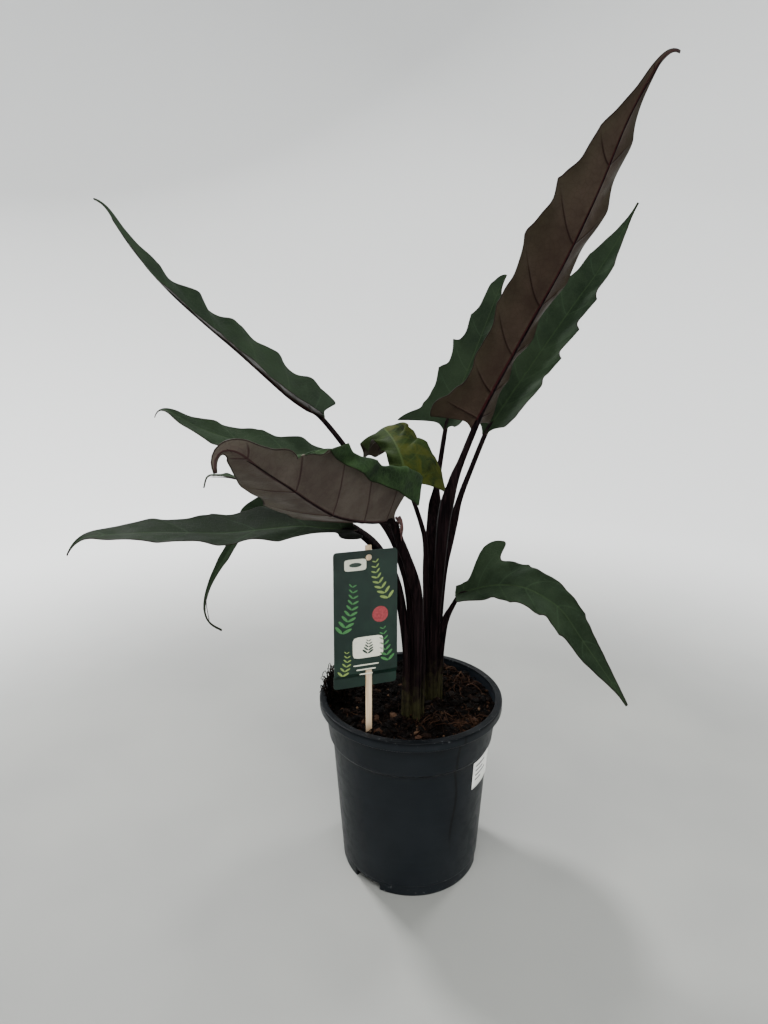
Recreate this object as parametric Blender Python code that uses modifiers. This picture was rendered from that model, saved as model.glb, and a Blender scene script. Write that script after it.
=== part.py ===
# A potted alocasia: a nursery pot of soil, two clumps of leaf stalks with their
# arrow-shaped blades, a plant tag on a stick and a price label.
# Metres, +Z up. The origin is the middle of the pot's underside, the front is -Y.
import math

import bmesh
import bpy
import numpy as np
from mathutils import Vector

GAP = 0.0003

# Nursery pot
POT_HEIGHT = 0.177
RIM_RADIUS = 0.0955
BASE_RADIUS = 0.0714
WALL = 0.0016
WALL_SLOPE = 0.0777
LIP_BOTTOM = 0.168
COLLAR_BOTTOM = 0.1375
COLLAR_LOW_RADIUS = 0.0858
COLLAR_TOP_RADIUS = 0.0900
INNER_STEP = 0.0045
EDGE = 0.0006
RIM_ROUND = 0.0015
FOOT_HEIGHT = 0.011
FOOT_WIDTH = 0.006
FOOT_NOTCHES = 3
FIRST_NOTCH = -129
NOTCH_WIDTH = 0.030
NOTCH_HEIGHT = 0.007
HUB_RADIUS = 0.016
POT_STEPS = 40

# Soil
SOIL_TOP = 0.167
SOIL_MOUND = 0.004
SOIL_LUMP = 0.0018
SOIL_LUMP_RATES = (171, 203, 390, 310)
SOIL_EDGE_DROP = 0.002
SOIL_EDGE_FADE = 0.008
SOIL_RINGS = 7
HOLE_DEPTH = 0.022

# Leaf blades
BLADE_THICKNESS = 0.0008
RIB_THICKNESS = 0.0030
VEIN_THICKNESS = 0.0014
TIP_HALF_WIDTH = 0.0012
MIDRIB_TAPER = 0.7
BELLY = 0.75
LOBE_FLARE = 0.15
LOBE_FLARE_SPREAD = 0.06
LOBE_SPREAD = 0.02
SCALLOP = 0.07
DRIP_SHARE = 0.18
DRIP_WIDTH = 0.35
ROW_POWER = 1.2
VEIN_ROOT_POWER = 1.25
VEIN_LEAN = 42
VEIN_FAN = 66
VEIN_FAN_SPREAD = 0.10
TROUGH_FADE = 0.6
FOLD_RATE = 4
WAVE_AT_BASE = 0.08
COLUMNS = (0.0, 0.10, 0.55, 1.0)
PATH_SAMPLES = 160
SECTION_STEPS = 12

# Leaf stalks
STALK_SIDES_RESOLUTION = 2
STALK_POINTS = 12
STALK_FOOT_RADIUS = 0.0036
STALK_FOOT_HEIGHT = SOIL_TOP - 0.018

# Plant tag and its stick
TAG_WIDTH = 0.062
TAG_HEIGHT = 0.134
TAG_BOTTOM = 0.216
TAG_THICKNESS = 0.0006
TAG_YAW = math.radians(18)
TAG_PLACE = (-0.0455, -0.0625, 0.0)
TAG_CORNER = 0.003
TAB_HEIGHT = 0.010
TAB_STEP = 0.005
STICK_WIDTH = 0.006
STICK_THICKNESS = 0.0016
STICK_BOTTOM = 0.125
STICK_TOP = 0.357
STICK_SIDE = 0.003
PUNCH_RADIUS = 0.003
PUNCH_DROP = 0.007

# Price label on the pot wall
LABEL_HEIGHT = 0.029
LABEL_THICKNESS = 0.0004
LABEL_MIDDLE = math.radians(-28)
LABEL_SPAN = math.radians(30)
LABEL_TOP = 0.1315

# Clumps: middle of the stalks in the soil, and higher up where they part
CLUMPS = {
    "near": {"foot": (0.000, -0.036), "waist": (0.001, -0.036), "ring": 0.0078},
    "far": {"foot": (0.023, 0.001), "waist": (0.024, 0.000), "ring": 0.0068},
}
WAIST_HEIGHT = 0.240

# Each leaf: the clump and the place of its stalk in it (an angle in degrees, or
# None for the middle), the stalk's points with its radius, the midrib's points and
# the way the upper side looks where the blade starts. Then, for the left and right
# half, the width, how full the basal lobe is, the rise off the midrib and its curl;
# the margin's wave, the side veins, the stalk's radius under the blade, and how far
# behind and below the midrib's first point the stalk ends. A leaf can also have its
# own columns, vein fan, lobe spread, taper of each half and a margin that flaps over.
LEAVES = {
    "tall": {
        "clump": "far", "place": -90,
        "stalk": [(0.029, -0.008, 0.323, 0.0046), (0.033, -0.008, 0.370, 0.0056),
                  (0.041, -0.008, 0.404, 0.0050), (0.049, -0.007, 0.425, 0.0035)],
        "midrib": [(0.062, -0.005, 0.462), (0.080, -0.020, 0.503), (0.106, -0.040, 0.559),
                   (0.128, -0.060, 0.607), (0.149, -0.080, 0.662), (0.163, -0.100, 0.710),
                   (0.180, -0.110, 0.747), (0.194, -0.105, 0.762), (0.205, -0.095, 0.765)],
        "facing": (-0.65, 0.8, 0.25), "half_width": (0.050, 0.044), "lobe": (0.9, 0.9),
        "rise": (32, 32), "curl": (-10, -10), "wave": 0.0035, "veins": 8, "neck": 0.0030,
        "seat": (0.0014, 0.0022),
    },
    "right_rear": {
        "clump": "far", "place": 54,
        "stalk": [(0.033, 0.007, 0.304, 0.0036), (0.040, 0.012, 0.339, 0.0038),
                  (0.051, 0.022, 0.379, 0.0032), (0.064, 0.032, 0.410, 0.0027)],
        "midrib": [(0.082, 0.045, 0.450), (0.109, 0.065, 0.484), (0.144, 0.090, 0.528),
                   (0.189, 0.115, 0.586), (0.221, 0.130, 0.627), (0.247, 0.140, 0.667),
                   (0.268, 0.145, 0.705)],
        "facing": (-0.35, -0.9, 0.5), "half_width": (0.031, 0.033), "lobe": (0.55, 0.55),
        "rise": (50, 48), "curl": (-25, -25), "wave": 0.0030, "veins": 8, "neck": 0.0025,
        "seat": (0.0006, 0.0008),
        "fan": 44,
    },
    "middle_rear": {
        "clump": "far", "place": 126,
        "stalk": [(0.021, 0.014, 0.305, 0.0038), (0.024, 0.022, 0.346, 0.0040),
                  (0.027, 0.034, 0.380, 0.0034), (0.031, 0.045, 0.405, 0.0028)],
        "midrib": [(0.040, 0.060, 0.455), (0.053, 0.075, 0.485), (0.068, 0.090, 0.518),
                   (0.090, 0.110, 0.569), (0.103, 0.120, 0.601), (0.113, 0.125, 0.621)],
        "facing": (-0.3, -0.9, 0.4), "half_width": (0.036, 0.020), "lobe": (1.1, 1.1),
        "rise": (18, 35), "curl": (0, 0), "wave": 0.003, "veins": 7, "neck": 0.0024,
        "seat": (0.0012, 0.0012),
    },
    "upper_left": {
        "clump": "near", "place": 70,
        "stalk": [(-0.001, -0.022, 0.290, 0.0036), (-0.012, -0.002, 0.324, 0.0036),
                  (-0.027, 0.022, 0.363, 0.0034), (-0.048, 0.040, 0.399, 0.0031),
                  (-0.070, 0.050, 0.431, 0.0029)],
        "midrib": [(-0.098, 0.058, 0.465), (-0.128, 0.062, 0.484), (-0.163, 0.062, 0.515),
                   (-0.191, 0.062, 0.540), (-0.219, 0.060, 0.564), (-0.251, 0.058, 0.594),
                   (-0.272, 0.055, 0.616), (-0.299, 0.050, 0.655), (-0.312, 0.045, 0.679),
                   (-0.319, 0.035, 0.684)],
        "facing": (0.7, 0.0, 0.7), "half_width": (0.044, 0.048), "lobe": (0.8, 0.8),
        "rise": (10, 42), "curl": (-20, -8), "wave": 0.004, "veins": 8, "neck": 0.0026,
        "seat": (0.0014, 0.0012),
    },
    "left_rear": {
        "clump": "near", "place": 0,
        "stalk": [(0.005, -0.032, 0.290, 0.0036), (-0.003, -0.026, 0.327, 0.0034),
                  (-0.022, -0.020, 0.366, 0.0031)],
        "midrib": [(-0.056, -0.016, 0.405), (-0.086, -0.012, 0.417), (-0.120, -0.010, 0.430),
                   (-0.160, -0.012, 0.442), (-0.191, -0.020, 0.453), (-0.214, -0.025, 0.464),
                   (-0.233, -0.030, 0.477), (-0.243, -0.030, 0.477), (-0.246, -0.030, 0.470)],
        "facing": (0.05, -0.35, 1.0), "half_width": (0.032, 0.032), "lobe": (0.3, 0.3),
        "rise": (12, 12), "curl": (0, 0), "wave": 0.004, "veins": 7, "neck": 0.0026,
        "seat": (0.0010, 0.0010),
    },
    "front": {
        "clump": "near", "place": -60,
        "stalk": [(0.004, -0.043, 0.295, 0.0046), (-0.003, -0.048, 0.326, 0.0048),
                  (-0.012, -0.053, 0.352, 0.0044)],
        "midrib": [(-0.023, -0.060, 0.377), (-0.044, -0.090, 0.382), (-0.066, -0.125, 0.393),
                   (-0.082, -0.155, 0.409), (-0.096, -0.185, 0.428), (-0.109, -0.215, 0.446),
                   (-0.119, -0.245, 0.465), (-0.124, -0.265, 0.474), (-0.126, -0.280, 0.474),
                   (-0.124, -0.285, 0.461)],
        "facing": (-0.2, 0.9, 0.35), "half_width": (0.060, 0.050), "lobe": (1.0, 1.0),
        "rise": (8, 55), "curl": (0, 0), "wave": 0.004, "veins": 7, "neck": 0.0034,
        "seat": (0.0024, 0.0022), "columns": (0.0, 0.10, 0.50, 0.76, 1.0),
        "flap": {"half": 0, "start": 0.66, "bend": -165, "reach": 0.50},
        "taper": (0.45, 0.0),
    },
    "lower_left": {
        "clump": "near", "place": 212,
        "stalk": [(-0.012, -0.040, 0.290, 0.0036), (-0.022, -0.037, 0.324, 0.0032),
                  (-0.040, -0.033, 0.346, 0.0027)],
        "midrib": [(-0.076, -0.030, 0.359), (-0.108, -0.040, 0.367), (-0.149, -0.055, 0.367),
                   (-0.176, -0.065, 0.367), (-0.227, -0.085, 0.373), (-0.265, -0.100, 0.375),
                   (-0.282, -0.110, 0.376), (-0.291, -0.115, 0.370), (-0.296, -0.115, 0.361)],
        "facing": (0.0, -0.15, 1.0), "half_width": (0.040, 0.040), "lobe": (0.6, 0.6),
        "rise": (12, 12), "curl": (0, 0), "wave": 0.0025, "veins": 7, "neck": 0.0022,
        "seat": (0.0020, 0.0014),
    },
    "drooping": {
        "clump": "near", "place": 141,
        "stalk": [(-0.014, -0.020, 0.300, 0.0034), (-0.032, 0.002, 0.332, 0.0030),
                  (-0.054, 0.028, 0.345, 0.0026)],
        "midrib": [(-0.082, 0.050, 0.354), (-0.131, 0.055, 0.368), (-0.170, 0.055, 0.360),
                   (-0.193, 0.055, 0.326), (-0.219, 0.050, 0.282), (-0.227, 0.045, 0.255),
                   (-0.222, 0.040, 0.237), (-0.205, 0.030, 0.232)],
        "facing": (0.1, 0.0, 1.0), "half_width": (0.022, 0.022), "lobe": (0.8, 0.8),
        "rise": (20, 20), "curl": (0, 0), "wave": 0.002, "veins": 6, "neck": 0.0022,
        "seat": (0.0020, 0.0014),
    },
    "hidden_left": {
        "clump": "near", "place": None,
        "stalk": [(-0.004, -0.032, 0.300, 0.0034), (-0.016, -0.022, 0.340, 0.0030),
                  (-0.036, -0.014, 0.370, 0.0026)],
        "midrib": [(-0.067, -0.010, 0.388), (-0.100, -0.025, 0.397), (-0.131, -0.040, 0.404),
                   (-0.152, -0.055, 0.413), (-0.171, -0.070, 0.421), (-0.185, -0.075, 0.422),
                   (-0.188, -0.080, 0.412)],
        "facing": (0.0, 0.0, 1.0), "half_width": (0.024, 0.024), "lobe": (0.8, 0.8),
        "rise": (8, 8), "curl": (0, 0), "wave": 0.002, "veins": 6, "neck": 0.0020,
        "seat": (0.0018, 0.0014),
    },
    "crinkled": {
        "clump": "far", "place": 198,
        "stalk": [(0.015, -0.002, 0.300, 0.0028), (0.014, -0.003, 0.339, 0.0026),
                  (0.009, -0.005, 0.362, 0.0024)],
        "midrib": [(-0.005, -0.010, 0.403), (-0.010, 0.000, 0.425), (-0.018, 0.020, 0.442),
                   (-0.028, 0.050, 0.451), (-0.030, 0.075, 0.445), (-0.026, 0.095, 0.420)],
        "facing": (-0.3, -0.8, 0.3), "half_width": (0.034, 0.042), "lobe": (0.75, 0.75),
        "rise": (10, -20), "curl": (-30, -50), "wave": 0.005, "veins": 6, "neck": 0.0020,
        "seat": (0.0014, 0.0012),
        "lobe_spread": 0.05,
    },
    "lower_right": {
        "clump": "far", "place": -18,
        "stalk": [(0.031, -0.005, 0.228, 0.0034), (0.034, -0.011, 0.258, 0.0034),
                  (0.041, -0.016, 0.277, 0.0022)],
        "midrib": [(0.049, -0.020, 0.293), (0.072, -0.035, 0.305), (0.089, -0.045, 0.310),
                   (0.106, -0.060, 0.312), (0.122, -0.070, 0.306), (0.135, -0.080, 0.297),
                   (0.150, -0.095, 0.275), (0.164, -0.110, 0.255), (0.180, -0.125, 0.231)],
        "facing": (-0.2, -0.45, 0.9), "half_width": (0.022, 0.029), "lobe": (1.0, 0.30),
        "rise": (30, 10), "curl": (-8, -8), "wave": 0.003, "veins": 7, "neck": 0.0018,
        "seat": (0.0010, 0.0014),
        "fan": 34,
        "lobe_spread": 0.07,
    },
}

MATERIALS = {
    "pot_plastic": ((0.027, 0.032, 0.038, 1.0), 0.42),
    "soil": ((0.016, 0.010, 0.007, 1.0), 0.95),
    "leaf_green": ((0.018, 0.042, 0.022, 1.0), 0.38),
    "stalk_dark": ((0.012, 0.008, 0.009, 1.0), 0.35),
    "tag_card": ((0.010, 0.027, 0.019, 1.0), 0.45),
    "stick_wood": ((0.64, 0.52, 0.36, 1.0), 0.75),
    "label_paper": ((0.80, 0.80, 0.78, 1.0), 0.60),
}


def clear_scene():
    for old in list(bpy.data.objects):
        bpy.data.objects.remove(old, do_unlink=True)


def new_collection(name):
    collection = bpy.data.collections.new(name)
    bpy.context.scene.collection.children.link(collection)
    return collection


def own_material(name, kind):
    colour, roughness = MATERIALS[kind]
    material = bpy.data.materials.new(name)
    material.use_nodes = True
    shader = material.node_tree.nodes["Principled BSDF"]
    shader.inputs["Base Color"].default_value = colour
    shader.inputs["Roughness"].default_value = roughness
    shader.inputs["Metallic"].default_value = 0.0
    return material


def new_object(name, data, collection, kind=None):
    made = bpy.data.objects.new(name, data)
    collection.objects.link(made)
    if kind:
        data.materials.append(own_material(name, kind))
    return made


def mesh_from_bmesh(name, bm):
    mesh = bpy.data.meshes.new(name)
    bm.to_mesh(mesh)
    bm.free()
    return mesh


def cut(target, cutter):
    cutter.hide_render = True
    cutter.display_type = "WIRE"
    boolean = target.modifiers.new("cut_" + cutter.name, "BOOLEAN")
    boolean.operation = "DIFFERENCE"
    boolean.object = cutter


def box_cutter(name, size, place, collection):
    bm = bmesh.new()
    bmesh.ops.create_cube(bm, size=1.0)
    bmesh.ops.scale(bm, vec=size, verts=bm.verts)
    cutter = new_object(name, mesh_from_bmesh(name, bm), collection)
    cutter.location = place
    return cutter


def round_cutter(name, radius, depth, place, collection, sides=20):
    bm = bmesh.new()
    bmesh.ops.create_cone(bm, cap_ends=True, segments=sides,
                          radius1=radius, radius2=radius, depth=depth)
    cutter = new_object(name, mesh_from_bmesh(name, bm), collection)
    cutter.location = place
    return cutter


def turned(name, outline, collection, kind):
    # The outline is radius and height, from the axis up the inside, down the outside.
    bm = bmesh.new()
    verts = [bm.verts.new((radius, 0.0, height)) for radius, height in outline]
    for first, second in zip(verts, verts[1:]):
        bm.edges.new((first, second))
    made = new_object(name, mesh_from_bmesh(name, bm), collection, kind)
    screw = made.modifiers.new("turn", "SCREW")
    screw.steps = POT_STEPS
    screw.render_steps = POT_STEPS
    screw.use_merge_vertices = True
    screw.merge_threshold = 0.0001
    screw.use_smooth_shade = True
    return made


def wall_radius(height):
    # Outer wall of the pot below the collar, straight from the foot up.
    return BASE_RADIUS + WALL_SLOPE * height


def collar_radius(height):
    # Outer wall of the pot between the collar's lower edge and the lip.
    share = (height - COLLAR_BOTTOM) / (LIP_BOTTOM - COLLAR_BOTTOM)
    return COLLAR_LOW_RADIUS + (COLLAR_TOP_RADIUS - COLLAR_LOW_RADIUS) * share


def make_pot(parts, cutters):
    floor_top = FOOT_HEIGHT + WALL
    outline = [
        (0.0, floor_top),
        (wall_radius(floor_top) - 3 * WALL, floor_top),
        (wall_radius(floor_top) - WALL, floor_top + 2 * WALL),
        (wall_radius(COLLAR_BOTTOM) - WALL, COLLAR_BOTTOM),
        (COLLAR_LOW_RADIUS - WALL, COLLAR_BOTTOM + INNER_STEP),
        (COLLAR_TOP_RADIUS - WALL, LIP_BOTTOM),
        (COLLAR_TOP_RADIUS - WALL, POT_HEIGHT - EDGE),
        (COLLAR_TOP_RADIUS - WALL + EDGE, POT_HEIGHT),
        (RIM_RADIUS - RIM_ROUND, POT_HEIGHT - GAP),
        (RIM_RADIUS, POT_HEIGHT - RIM_ROUND),
        (RIM_RADIUS, LIP_BOTTOM + EDGE),
        (RIM_RADIUS - EDGE, LIP_BOTTOM),
        (COLLAR_TOP_RADIUS, LIP_BOTTOM),
        (COLLAR_LOW_RADIUS, COLLAR_BOTTOM + EDGE),
        (COLLAR_LOW_RADIUS - EDGE, COLLAR_BOTTOM),
        (wall_radius(COLLAR_BOTTOM), COLLAR_BOTTOM - RIM_ROUND),
        (wall_radius(FOOT_HEIGHT), FOOT_HEIGHT),
        (BASE_RADIUS, RIM_ROUND),
        (BASE_RADIUS - RIM_ROUND, 0.0),
        (BASE_RADIUS - FOOT_WIDTH, 0.0),
        (BASE_RADIUS - FOOT_WIDTH, FOOT_HEIGHT),
        (HUB_RADIUS, FOOT_HEIGHT),
        (HUB_RADIUS, 0.0),
        (0.0, 0.0),
    ]
    pot = turned("nursery_pot", outline, parts, "pot_plastic")
    for index in range(FOOT_NOTCHES):
        angle = math.radians(360 * index / FOOT_NOTCHES + FIRST_NOTCH)
        reach = Vector((math.cos(angle), math.sin(angle), 0.0)) * (BASE_RADIUS - 0.002)
        notch = box_cutter("foot_notch_%d" % index, (0.030, NOTCH_WIDTH, 2 * NOTCH_HEIGHT),
                           reach, cutters)
        notch.rotation_euler.z = angle
        cut(pot, notch)
    return pot


def clump_middle(clump, height):
    foot, waist = CLUMPS[clump]["foot"], CLUMPS[clump]["waist"]
    share = (height - STALK_FOOT_HEIGHT) / (WAIST_HEIGHT - STALK_FOOT_HEIGHT)
    return Vector(foot + (0.0,)).lerp(Vector(waist + (0.0,)), share) + Vector((0, 0, height))


def clump_place(clump, angle, height):
    middle = clump_middle(clump, height)
    if angle is None:
        return middle
    turn = math.radians(angle)
    return middle + Vector((math.cos(turn), math.sin(turn), 0.0)) * CLUMPS[clump]["ring"]


def soil_height(x, y):
    reach = math.hypot(x, y) / RIM_RADIUS
    mound = SOIL_MOUND * (1 - reach ** 2)
    first, second, third, fourth = SOIL_LUMP_RATES
    lumps = math.sin(first * x + 0.7) * math.sin(second * y + 1.9)
    lumps += 0.5 * math.sin(third * x + fourth * y)
    return SOIL_TOP + mound + SOIL_LUMP * lumps


def make_soil(parts, cutters):
    floor = FOOT_HEIGHT + WALL + GAP
    skin = WALL + 2 * GAP
    edge_height = SOIL_TOP - SOIL_EDGE_DROP
    edge_radius = collar_radius(edge_height) - skin
    outline = [(edge_radius * ring / SOIL_RINGS, edge_height) for ring in range(SOIL_RINGS + 1)]
    outline += [(COLLAR_LOW_RADIUS - skin, COLLAR_BOTTOM + INNER_STEP),
                (wall_radius(COLLAR_BOTTOM) - skin, COLLAR_BOTTOM),
                (wall_radius(floor) - skin, floor + 2 * WALL),
                (wall_radius(floor) - 3 * WALL - GAP, floor), (0.0, floor)]
    soil = turned("soil", outline, parts, "soil")
    turned_mesh = bpy.data.meshes.new_from_object(soil.evaluated_get(
        bpy.context.evaluated_depsgraph_get()))
    soil.modifiers.clear()
    soil.data = turned_mesh
    for vert in turned_mesh.vertices:
        x, y, z = vert.co
        if z > edge_height - GAP:
            fade = min(1.0, (edge_radius - math.hypot(x, y)) / SOIL_EDGE_FADE)
            vert.co.z = edge_height + (soil_height(x, y) - edge_height) * max(0.0, fade)
    for clump, layout in CLUMPS.items():
        radius = layout["ring"] + STALK_FOOT_RADIUS + 2 * GAP
        place = clump_middle(clump, SOIL_TOP)
        depth = 2 * HOLE_DEPTH
        cut(soil, round_cutter("clump_hole_" + clump, radius, depth, place, cutters, 28))
    slot = box_cutter("stick_slot", (STICK_WIDTH + 2 * GAP, STICK_THICKNESS + 2 * GAP, 0.120),
                      stick_place(STICK_BOTTOM - GAP + 0.060), cutters)
    slot.rotation_euler.z = TAG_YAW
    cut(soil, slot)
    return soil


def smooth_path(points, count):
    # Catmull-Rom curve through the points, read at even steps of its length.
    points = np.array(points, dtype=float)
    first, last = 2 * points[0] - points[1], 2 * points[-1] - points[-2]
    padded = np.vstack([first, points, last])
    dense = []
    for p0, p1, p2, p3 in zip(padded, padded[1:], padded[2:], padded[3:]):
        for t in np.linspace(0, 1, 24, endpoint=False):
            dense.append(0.5 * (2 * p1 + (p2 - p0) * t + (2 * p0 - 5 * p1 + 4 * p2 - p3) * t ** 2
                                + (3 * p1 - p0 - 3 * p2 + p3) * t ** 3))
    dense.append(points[-1])
    dense = np.array(dense)
    steps = np.linalg.norm(np.diff(dense[:, :3], axis=0), axis=1)
    reach = np.concatenate([[0.0], np.cumsum(steps)])
    even = np.linspace(0, reach[-1], count)
    return np.stack([np.interp(even, reach, dense[:, axis]) for axis in range(dense.shape[1])], 1)


def midrib_frames(leaf):
    # Places, directions and upper-side normals along the midrib, carried without twist.
    places = smooth_path(leaf["midrib"], PATH_SAMPLES)
    ahead = np.gradient(places, axis=0)
    ahead /= np.linalg.norm(ahead, axis=1)[:, None]
    normal = np.array(leaf["facing"], dtype=float)
    normals = []
    for direction in ahead:
        normal = normal - direction * normal.dot(direction)
        normal = normal / np.linalg.norm(normal)
        normals.append(normal)
    length = np.linalg.norm(np.diff(places, axis=0), axis=1).sum()
    return {"places": places, "ahead": ahead, "up": np.array(normals), "length": length}


def read_along(frames, key, distance):
    length = frames["length"]
    spot = min(max(distance / length, 0.0), 1.0) * (PATH_SAMPLES - 1)
    low = min(int(spot), PATH_SAMPLES - 2)
    part = spot - low
    return Vector(frames[key][low] * (1 - part) + frames[key][low + 1] * part)


def blade_half_width(leaf, share, half):
    # Half width of the margin from the basal lobe (0) to the drip tip (1), scalloped
    # so that it swells where each side vein ends.
    outline = (1 - share) ** 0.9 * (1 + BELLY * share)
    flare = LOBE_FLARE * math.exp(-share / LOBE_FLARE_SPREAD)
    spread = leaf.get("lobe_spread", LOBE_SPREAD)
    notch = (1 + LOBE_FLARE - leaf["lobe"][half]) * math.exp(-share / spread)
    outline *= 1 + flare - notch
    drip = DRIP_WIDTH + (1 - DRIP_WIDTH) * min(1.0, (1 - share) / DRIP_SHARE)
    vein = share ** (1 / ROW_POWER) * leaf["veins"]
    scallop = 1 - SCALLOP * math.cos(2 * math.pi * vein) * math.sin(math.pi * share)
    taper = 1 - leaf.get("taper", (0.0, 0.0))[half] * share
    width = leaf["half_width"][half] * outline * scallop * taper * drip
    return max(TIP_HALF_WIDTH, width)


def vein_angle(leaf, share):
    # Side veins fan back into the lobe, then lean ever more towards the tip.
    fan = leaf.get("fan", VEIN_FAN) * math.exp(-share / VEIN_FAN_SPREAD)
    return math.radians(VEIN_LEAN + fan)


def cross_section(leaf, half, share, reach):
    # Out and up from the midrib for a half of width one, bent by its rise, its curl and
    # the part of the margin that flaps over, if the leaf has one.
    flap = leaf.get("flap")
    flapping = flap is not None and flap["half"] == half
    fade = 1 - TROUGH_FADE * share
    outward, upward = 0.0, 0.0
    for step in range(SECTION_STEPS):
        spot = reach * (step + 0.5) / SECTION_STEPS
        slope = (leaf["rise"][half] + leaf["curl"][half] * spot) * fade
        if flapping:
            folded = min(1.0, max(0.0, (spot - flap["start"]) * FOLD_RATE))
            slope += flap["bend"] * folded * max(0.0, 1 - share / flap["reach"])
        outward += math.cos(math.radians(slope)) * reach / SECTION_STEPS
        upward += math.sin(math.radians(slope)) * reach / SECTION_STEPS
    return outward, upward


def blade_point(leaf, frames, order, reach, half):
    # order runs along the leaf in even steps of its veins, reach from the midrib (0)
    # to the margin (1), half is 0 for the left half and 1 for the right half.
    share = order ** ROW_POWER
    length = frames["length"]
    angle = vein_angle(leaf, share)
    vein = blade_half_width(leaf, share, half) / math.sin(angle)
    along = min(length * share ** VEIN_ROOT_POWER + vein * reach * math.cos(angle), length)
    across = vein * math.sin(angle)
    outward, upward = cross_section(leaf, half, share, reach)
    up = read_along(frames, "up", along)
    ahead = read_along(frames, "ahead", along)
    sideways = ahead.cross(up).normalized() * (2 * half - 1)
    place = read_along(frames, "places", along) + ahead * min(along, 0.0)
    ripple = math.cos(2 * math.pi * order * leaf["veins"] + half * math.pi / 2)
    lift = leaf["wave"] * ripple * reach ** 2 * math.sin(math.pi * min(1.0, share + WAVE_AT_BASE))
    return place + sideways * (across * outward) + up * (across * upward + lift)


def rib_weight(leaf, row, rows, reach):
    share = row / (rows - 1)
    plain = BLADE_THICKNESS / RIB_THICKNESS
    if reach == 0.0:
        return plain + (1 - plain) * (1 - share) ** MIDRIB_TAPER
    is_vein = row % 2 == 1
    if is_vein and reach < 1.0:
        return plain + (VEIN_THICKNESS / RIB_THICKNESS - plain) * (1 - share)
    return plain


def make_blade(name, leaf, parts):
    frames = midrib_frames(leaf)
    rows = 2 * leaf["veins"] + 1
    columns = leaf.get("columns", COLUMNS)
    reaches = [-reach for reach in reversed(columns[1:])] + list(columns)
    bm = bmesh.new()
    bmesh.ops.create_grid(bm, x_segments=len(reaches) - 1, y_segments=rows - 1, size=1.0)
    bm.verts.ensure_lookup_table()
    weights = []
    for vert in bm.verts:
        column = round((vert.co.x + 1) / 2 * (len(reaches) - 1))
        row = round((vert.co.y + 1) / 2 * (rows - 1))
        reach = reaches[column]
        half = 0 if reach < 0 else 1
        vert.co = blade_point(leaf, frames, row / (rows - 1), abs(reach), half)
        weights.append(rib_weight(leaf, row, rows, abs(reach)))
    bmesh.ops.triangulate(bm, faces=bm.faces, quad_method="SHORT_EDGE")
    blade = new_object(name, mesh_from_bmesh(name, bm), parts, "leaf_green")
    ribs = blade.vertex_groups.new(name="ribs")
    for index, weight in enumerate(weights):
        ribs.add([index], weight, "REPLACE")
    solid = blade.modifiers.new("thickness", "SOLIDIFY")
    solid.thickness = RIB_THICKNESS
    solid.offset = -1.0
    solid.vertex_group = "ribs"
    blade.data.shade_smooth()
    return blade


def stalk_route(leaf):
    clump, angle = leaf["clump"], leaf["place"]
    heights = (STALK_FOOT_HEIGHT, SOIL_TOP, (SOIL_TOP + WAIST_HEIGHT) / 2, WAIST_HEIGHT)
    low_top = leaf["stalk"][0][2] - 0.02
    route = [tuple(clump_place(clump, angle, height)) + (STALK_FOOT_RADIUS,)
             for height in heights if height < low_top]
    route += leaf["stalk"]
    frames = midrib_frames(leaf)
    start = read_along(frames, "places", 0.0)
    ahead = read_along(frames, "ahead", 0.0)
    up = read_along(frames, "up", 0.0)
    back, under = leaf["seat"]
    end = start - ahead * back - up * under
    route.append(tuple(end) + (leaf["neck"],))
    return route


def make_stalk(name, leaf, parts):
    curve = bpy.data.curves.new(name, "CURVE")
    curve.dimensions = "3D"
    curve.bevel_depth = 1.0
    curve.bevel_resolution = STALK_SIDES_RESOLUTION
    curve.use_fill_caps = True
    spline = curve.splines.new("POLY")
    route = smooth_path(stalk_route(leaf), STALK_POINTS)
    spline.points.add(len(route) - 1)
    for point, (x, y, z, radius) in zip(spline.points, route):
        point.co = (x, y, z, 1.0)
        point.radius = radius
    return new_object(name, curve, parts, "stalk_dark")


def stick_place(height):
    # The stick stands in the soil beside the middle of the tag.
    along = Vector((math.cos(TAG_YAW), math.sin(TAG_YAW), 0.0)) * STICK_SIDE
    return Vector(TAG_PLACE) + along + Vector((0, 0, height))


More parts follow.
